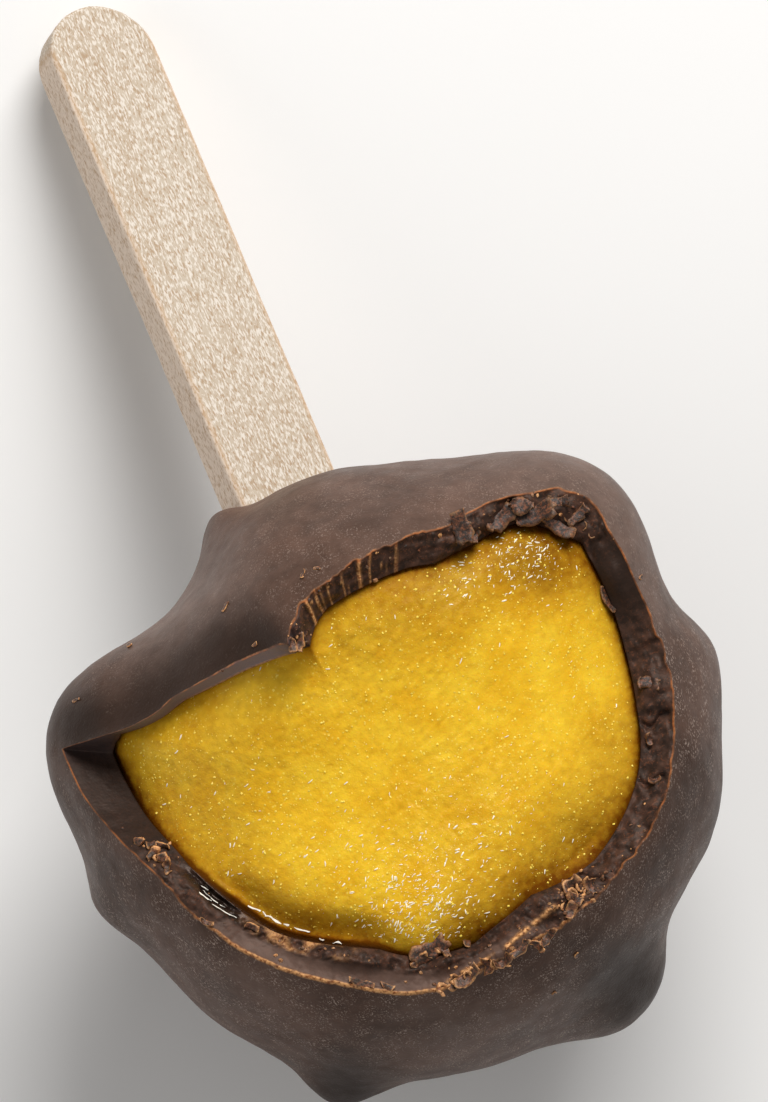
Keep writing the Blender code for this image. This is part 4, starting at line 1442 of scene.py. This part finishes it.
def make_flakes():
    """All flakes, nuggets and chips as one mesh."""
    points, faces, tans, count = [], [], [], 0
    wanted = []
    for seed, (azimuth, across, lift, length, width, thickness, curl, turn, tilt) in enumerate(FLAKES):
        own, own_faces, tan = flake(length, width, thickness, curl, seed + 1)
        tan = tan * (1.0 - 0.72 * float(span(azimuth, *SHADED))) * (0.5 if thickness > THICK_CHUNK else 1.0)
        wanted.append((rim_frame(azimuth, across), lift, (own, own_faces, tan), turn, tilt))
    for seed, (x, y, length, width, turn) in enumerate(CHIPS):
        chip = flake(0.8 * length, 0.7 * width, CHIP_THICKNESS, CHIP_CURL, seed + CHIP_SEED)
        wanted.append((skin_frame(x, y), CHIP_LIFT, chip, turn, CHIP_TILT))
    for seed, (azimuth, across, lift, radius, sweep, thickness, turn, tilt) in enumerate(CURLS):
        own, own_faces, tan = curl_round(radius, sweep, thickness, seed)
        tan = tan * (1.0 - 0.6 * float(span(azimuth, *SHADED_CURLS)))
        wanted.append((rim_frame(azimuth, across), lift, (own, own_faces, tan), turn, tilt))
    for (start, axes), lift, (own, own_faces, tan), turn, tilt in wanted:
        turned = Matrix.Rotation(math.radians(turn), 3, "Z") @ Matrix.Rotation(math.radians(tilt), 3, "X")
        placed = (own @ np.array(turned).T) @ axes + start + axes[2] * lift * 0.6 + CENTRE
        points.append(placed)
        faces += [[i + count for i in face] for face in own_faces]
        tans.append(tan)
        count += len(own)
    return add_mesh("chocolate_flakes", np.concatenate(points), faces, {"tan": np.concatenate(tans)})


flakes = make_flakes()
flakes.data.materials.append(torn_finish)
print("flakes", len(flakes.data.polygons), "faces")

# %% [markdown]
# ## Painted highlights on melted juice
# Melted juice has run into the groove at the lower left, and its wet surface shows thin bright highlights.
# They are painted highlights, drawn as thin white slivers, because a highlight is narrower than any mesh of
# the broken face. A ray from above finds the surface under each, so that it lies on the chocolate or on the
# mango.

# %% Make the slivers
# x, y, length, width, turn
HIGHLIGHT_SLIVERS = (
    (-18.45, -3.4, 2.0, 0.16, -78), (-17.2, -5.5, 3.0, 0.13, -47), (-17.9, -3.9, 2.6, 0.10, -68),
    (-18.1, -2.9, 0.8, 0.24, -40), (-14.9, -6.1, 1.2, 0.24, -44), (-13.7, -7.6, 1.5, 0.26, -51),
    (-11.8, -9.4, 1.7, 0.20, -49), (-12.9, -8.4, 0.6, 0.20, -30), (-10.6, -10.8, 0.5, 0.18, -50),
    (-14.3, -6.9, 0.5, 0.22, -80), (-9.4, -11.6, 0.6, 0.14, -35),
)
SLIVER_CURL, SLIVER_SEED, SLIVER_LIFT = 0.03, 71, 0.04
# painted highlight: white streaks where the wet juice shines
PAINTED_HIGHLIGHT_STREAK = linear((255, 250, 238))


def surface_under(x, y):
    """The highest point and its normal of the coating and the mango under a place."""
    graph = bpy.context.evaluated_depsgraph_get()
    best = (Vector((x, y, 0.0)) * MM, Vector((0.0, 0.0, 1.0)))
    above, down = Vector((x * MM, y * MM, 1.0)), Vector((0.0, 0.0, -1.0))
    for item in (coating, filling):
        place, normal, _, _ = BVHTree.FromObject(item, graph).ray_cast(above, down)
        if place is not None and place.z > best[0].z:
            best = (place, normal)
    return best


def make_highlight_slivers():
    """All painted highlight streaks as one mesh."""
    points, faces, count = [], [], 0
    for seed, (x, y, length, width, turn) in enumerate(HIGHLIGHT_SLIVERS):
        place, normal = surface_under(x, y)
        own, own_faces, _ = flake(length, 0.62 * width, 0.4 * width, SLIVER_CURL, seed + SLIVER_SEED)
        lie = Matrix.Rotation(math.radians(turn), 3, "Z")
        flat = np.array(Vector((0.0, 0.0, 1.0)).rotation_difference(normal).to_matrix() @ lie)
        points.append(own @ flat.T + np.array(place) / MM + np.array(normal) * SLIVER_LIFT)
        faces += [[i + count for i in face] for face in own_faces]
        count += len(own)
    return add_mesh("ice_slivers", np.concatenate(points), faces, {})


slivers = make_highlight_slivers()
slivers.data.materials.append(frost("painted_highlight_sliver", PAINTED_HIGHLIGHT_STREAK))
print("slivers", len(slivers.data.polygons), "faces")

# %% [markdown]
# ## Crumbs and ice grains
# Crumbs on the broken face and ice grains on the mango are far too many to place by hand. One network of
# geometry nodes serves both: it spreads points over a surface as densely as a stored value says, puts a
# small lump on each, turned and sized at random, and leaves plain mesh. A seed keeps the result the same.

# %% Scatter with geometry nodes
LUMP_SEED = 11
LUMP_ROUGHNESS = 0.28
SMALL_ONES = 2.5


def small_lump(name, stretch, seed, tan):
    """One rough lump about a unit across, used many times."""
    shape = bmesh.new()
    bmesh.ops.create_icosphere(shape, subdivisions=1, radius=0.5)
    mesh = bpy.data.meshes.new(name)
    shape.to_mesh(mesh)
    shape.free()
    draw = np.random.default_rng(seed)
    for vertex in mesh.vertices:
        rough = 1.0 + draw.uniform(-LUMP_ROUGHNESS, LUMP_ROUGHNESS)
        vertex.co = [vertex.co[k] * rough * stretch[k] for k in range(3)]
    store(mesh, "tan", np.full(len(mesh.vertices), tan))
    return bpy.data.objects.new(name, mesh)


def lump_kinds(name, stretch, tans):
    """A collection with a few kinds of lump."""
    kinds = bpy.data.collections.new(name)
    for number, tan in enumerate(tans):
        kinds.objects.link(small_lump(f"{name}_{number}", stretch, LUMP_SEED + number, tan))
    return kinds


def scatter_tree():
    """Geometry nodes that spread lumps over a surface by its stored value named scatter."""
    tree = bpy.data.node_groups.new("scatter_on_surface", "GeometryNodeTree")
    face = tree.interface
    face.new_socket("Geometry", in_out="INPUT", socket_type="NodeSocketGeometry")
    for name, kind in (
        ("Mask", "NodeSocketString"), ("Lumps", "NodeSocketCollection"), ("Density", "NodeSocketFloat"),
        ("Seed", "NodeSocketInt"), ("Smallest", "NodeSocketFloat"), ("Largest", "NodeSocketFloat"),
        ("Direction", "NodeSocketVector"), ("Turn", "NodeSocketFloat"), ("Tip", "NodeSocketFloat"),
        ("Material", "NodeSocketMaterial"),
    ):
        face.new_socket(name, in_out="INPUT", socket_type=kind)
    face.new_socket("Geometry", in_out="OUTPUT", socket_type="NodeSocketGeometry")

    def add(kind, **settings):
        """A new node of this network."""
        return new_node(tree, kind, **settings)

    given, result = add("NodeGroupInput"), add("NodeGroupOutput")
    share = add("GeometryNodeInputNamedAttribute", data_type="FLOAT")
    amount = add("ShaderNodeMath", operation="MULTIPLY")
    spread = add("GeometryNodeDistributePointsOnFaces", distribute_method="RANDOM")
    lumps = add("GeometryNodeCollectionInfo", transform_space="ORIGINAL")
    lumps.inputs["Separate Children"].default_value = True
    lumps.inputs["Reset Children"].default_value = True
    aimed = add("FunctionNodeAlignRotationToVector", axis="X", pivot_axis="Z")
    most, least = add("ShaderNodeCombineXYZ"), add("ShaderNodeVectorMath", operation="SCALE")
    least.inputs["Scale"].default_value = -1.0
    angles = add("FunctionNodeRandomValue", data_type="FLOAT_VECTOR")
    euler = add("FunctionNodeEulerToRotation")
    turned = add("FunctionNodeRotateRotation", rotation_space="LOCAL")
    draw = add("FunctionNodeRandomValue", data_type="FLOAT")
    few, size = add("ShaderNodeMath", operation="POWER"), add("ShaderNodeMapRange")
    few.inputs[1].default_value = SMALL_ONES
    place = add("GeometryNodeInstanceOnPoints")
    place.inputs["Pick Instance"].default_value = True
    plain, paint = add("GeometryNodeRealizeInstances"), add("GeometryNodeSetMaterial")
    vectors = [s for s in angles.inputs if s.enabled]
    joins = (
        (given.outputs["Geometry"], spread.inputs["Mesh"]),
        (given.outputs["Mask"], share.inputs["Name"]),
        (share.outputs[0], amount.inputs[0]), (given.outputs["Density"], amount.inputs[1]),
        (amount.outputs[0], spread.inputs["Density"]), (given.outputs["Seed"], spread.inputs["Seed"]),
        (given.outputs["Lumps"], lumps.inputs["Collection"]),
        (spread.outputs["Rotation"], aimed.inputs["Rotation"]),
        (given.outputs["Direction"], aimed.inputs["Vector"]),
        (given.outputs["Tip"], most.inputs["X"]), (given.outputs["Tip"], most.inputs["Y"]),
        (given.outputs["Turn"], most.inputs["Z"]), (most.outputs[0], least.inputs[0]),
        (least.outputs[0], vectors[0]), (most.outputs[0], vectors[1]), (given.outputs["Seed"], vectors[-1]),
        (next(s for s in angles.outputs if s.enabled), euler.inputs[0]),
        (aimed.outputs[0], turned.inputs["Rotation"]), (euler.outputs[0], turned.inputs["Rotate By"]),
        (given.outputs["Smallest"], size.inputs["To Min"]), (given.outputs["Largest"], size.inputs["To Max"]),
        (given.outputs["Seed"], draw.inputs["Seed"]),
        (next(s for s in draw.outputs if s.enabled), few.inputs[0]),
        (few.outputs[0], size.inputs["Value"]),
        (spread.outputs["Points"], place.inputs["Points"]), (lumps.outputs[0], place.inputs["Instance"]),
        (turned.outputs[0], place.inputs["Rotation"]),
        (size.outputs["Result"], place.inputs["Scale"]),
        (place.outputs[0], plain.inputs[0]), (plain.outputs[0], paint.inputs["Geometry"]),
        (given.outputs["Material"], paint.inputs["Material"]), (paint.outputs[0], result.inputs[0]),
    )
    for start, end in joins:
        tree.links.new(start, end)
    return tree


def scatter(name, ground, settings):
    """Lumps over a copy of a surface, as one plain mesh."""
    item = put("ground", ground.data.copy())
    spread = item.modifiers.new("scatter", "NODES")
    spread.node_group = SCATTER
    for socket in SCATTER.interface.items_tree:
        if socket.in_out == "INPUT" and socket.name in settings:
            spread[socket.identifier] = settings[socket.name]
    made = plain_copy(item, name)
    for lump in list(settings["Lumps"].objects):
        bpy.data.objects.remove(lump, do_unlink=True)
    return made


SCATTER = scatter_tree()
PER_SQUARE_MM = 1.0 / MM ** 2
crumbs = scatter("chocolate_crumbs", coating, {
    "Mask": "scatter",
    "Lumps": lump_kinds("crumb", (1.0, 0.75, 0.55), (0.0, 0.15, 0.5, 1.0)),
    "Density": PER_SQUARE_MM, "Seed": 5, "Smallest": 0.10 * MM, "Largest": 0.60 * MM,
    "Direction": (1.0, 0.0, 0.0), "Turn": math.pi, "Tip": 0.6, "Material": torn_finish,
})
grains = scatter("ice_grains", filling, {
    "Mask": "scatter",
    "Lumps": lump_kinds("grain", (1.0, 0.22, 0.18), (0.0, 0.0, 0.0)),
    "Density": PER_SQUARE_MM, "Seed": 9, "Smallest": 0.09 * MM, "Largest": 0.66 * MM,
    "Direction": (float(np.cos(SLANT)), float(np.sin(SLANT)), 0.0), "Turn": 0.9, "Tip": 0.3,
    "Material": grain_finish,
})
beads = scatter("ice_beads", filling, {
    "Mask": "bitten",
    "Lumps": lump_kinds("bead", (1.0, 0.8, 0.4), (0.0, 0.0, 0.0)),
    "Density": 2.4 * PER_SQUARE_MM, "Seed": 14, "Smallest": 0.08 * MM, "Largest": 0.30 * MM,
    "Direction": (1.0, 0.0, 0.0), "Turn": math.pi, "Tip": 0.5, "Material": bead_finish,
})
ice_faces = len(grains.data.polygons) + len(beads.data.polygons)
print("crumbs", len(crumbs.data.polygons), "faces, ice", ice_faces, "faces")

# %% [markdown]
# ## Put the pieces on the body
# Every piece rides on the one body. The coating, the filling and the stick each stand for a solid, which
# is hidden. Flakes, crumbs and grains are extra.

# %% Finish
for piece, slot, node in (
    (coating, "chocolate", "coating"),
    (filling, "mango_ice", "filling"),
    (stick, "birch", "stick"),
    (flakes, "chocolate", None),
    (crumbs, "chocolate", None),
    (grains, "mango_ice", None),
    (beads, "mango_ice", None),
    (slivers, "mango_ice", None),
):
    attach(piece, "root")
    if node:
        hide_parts(node)
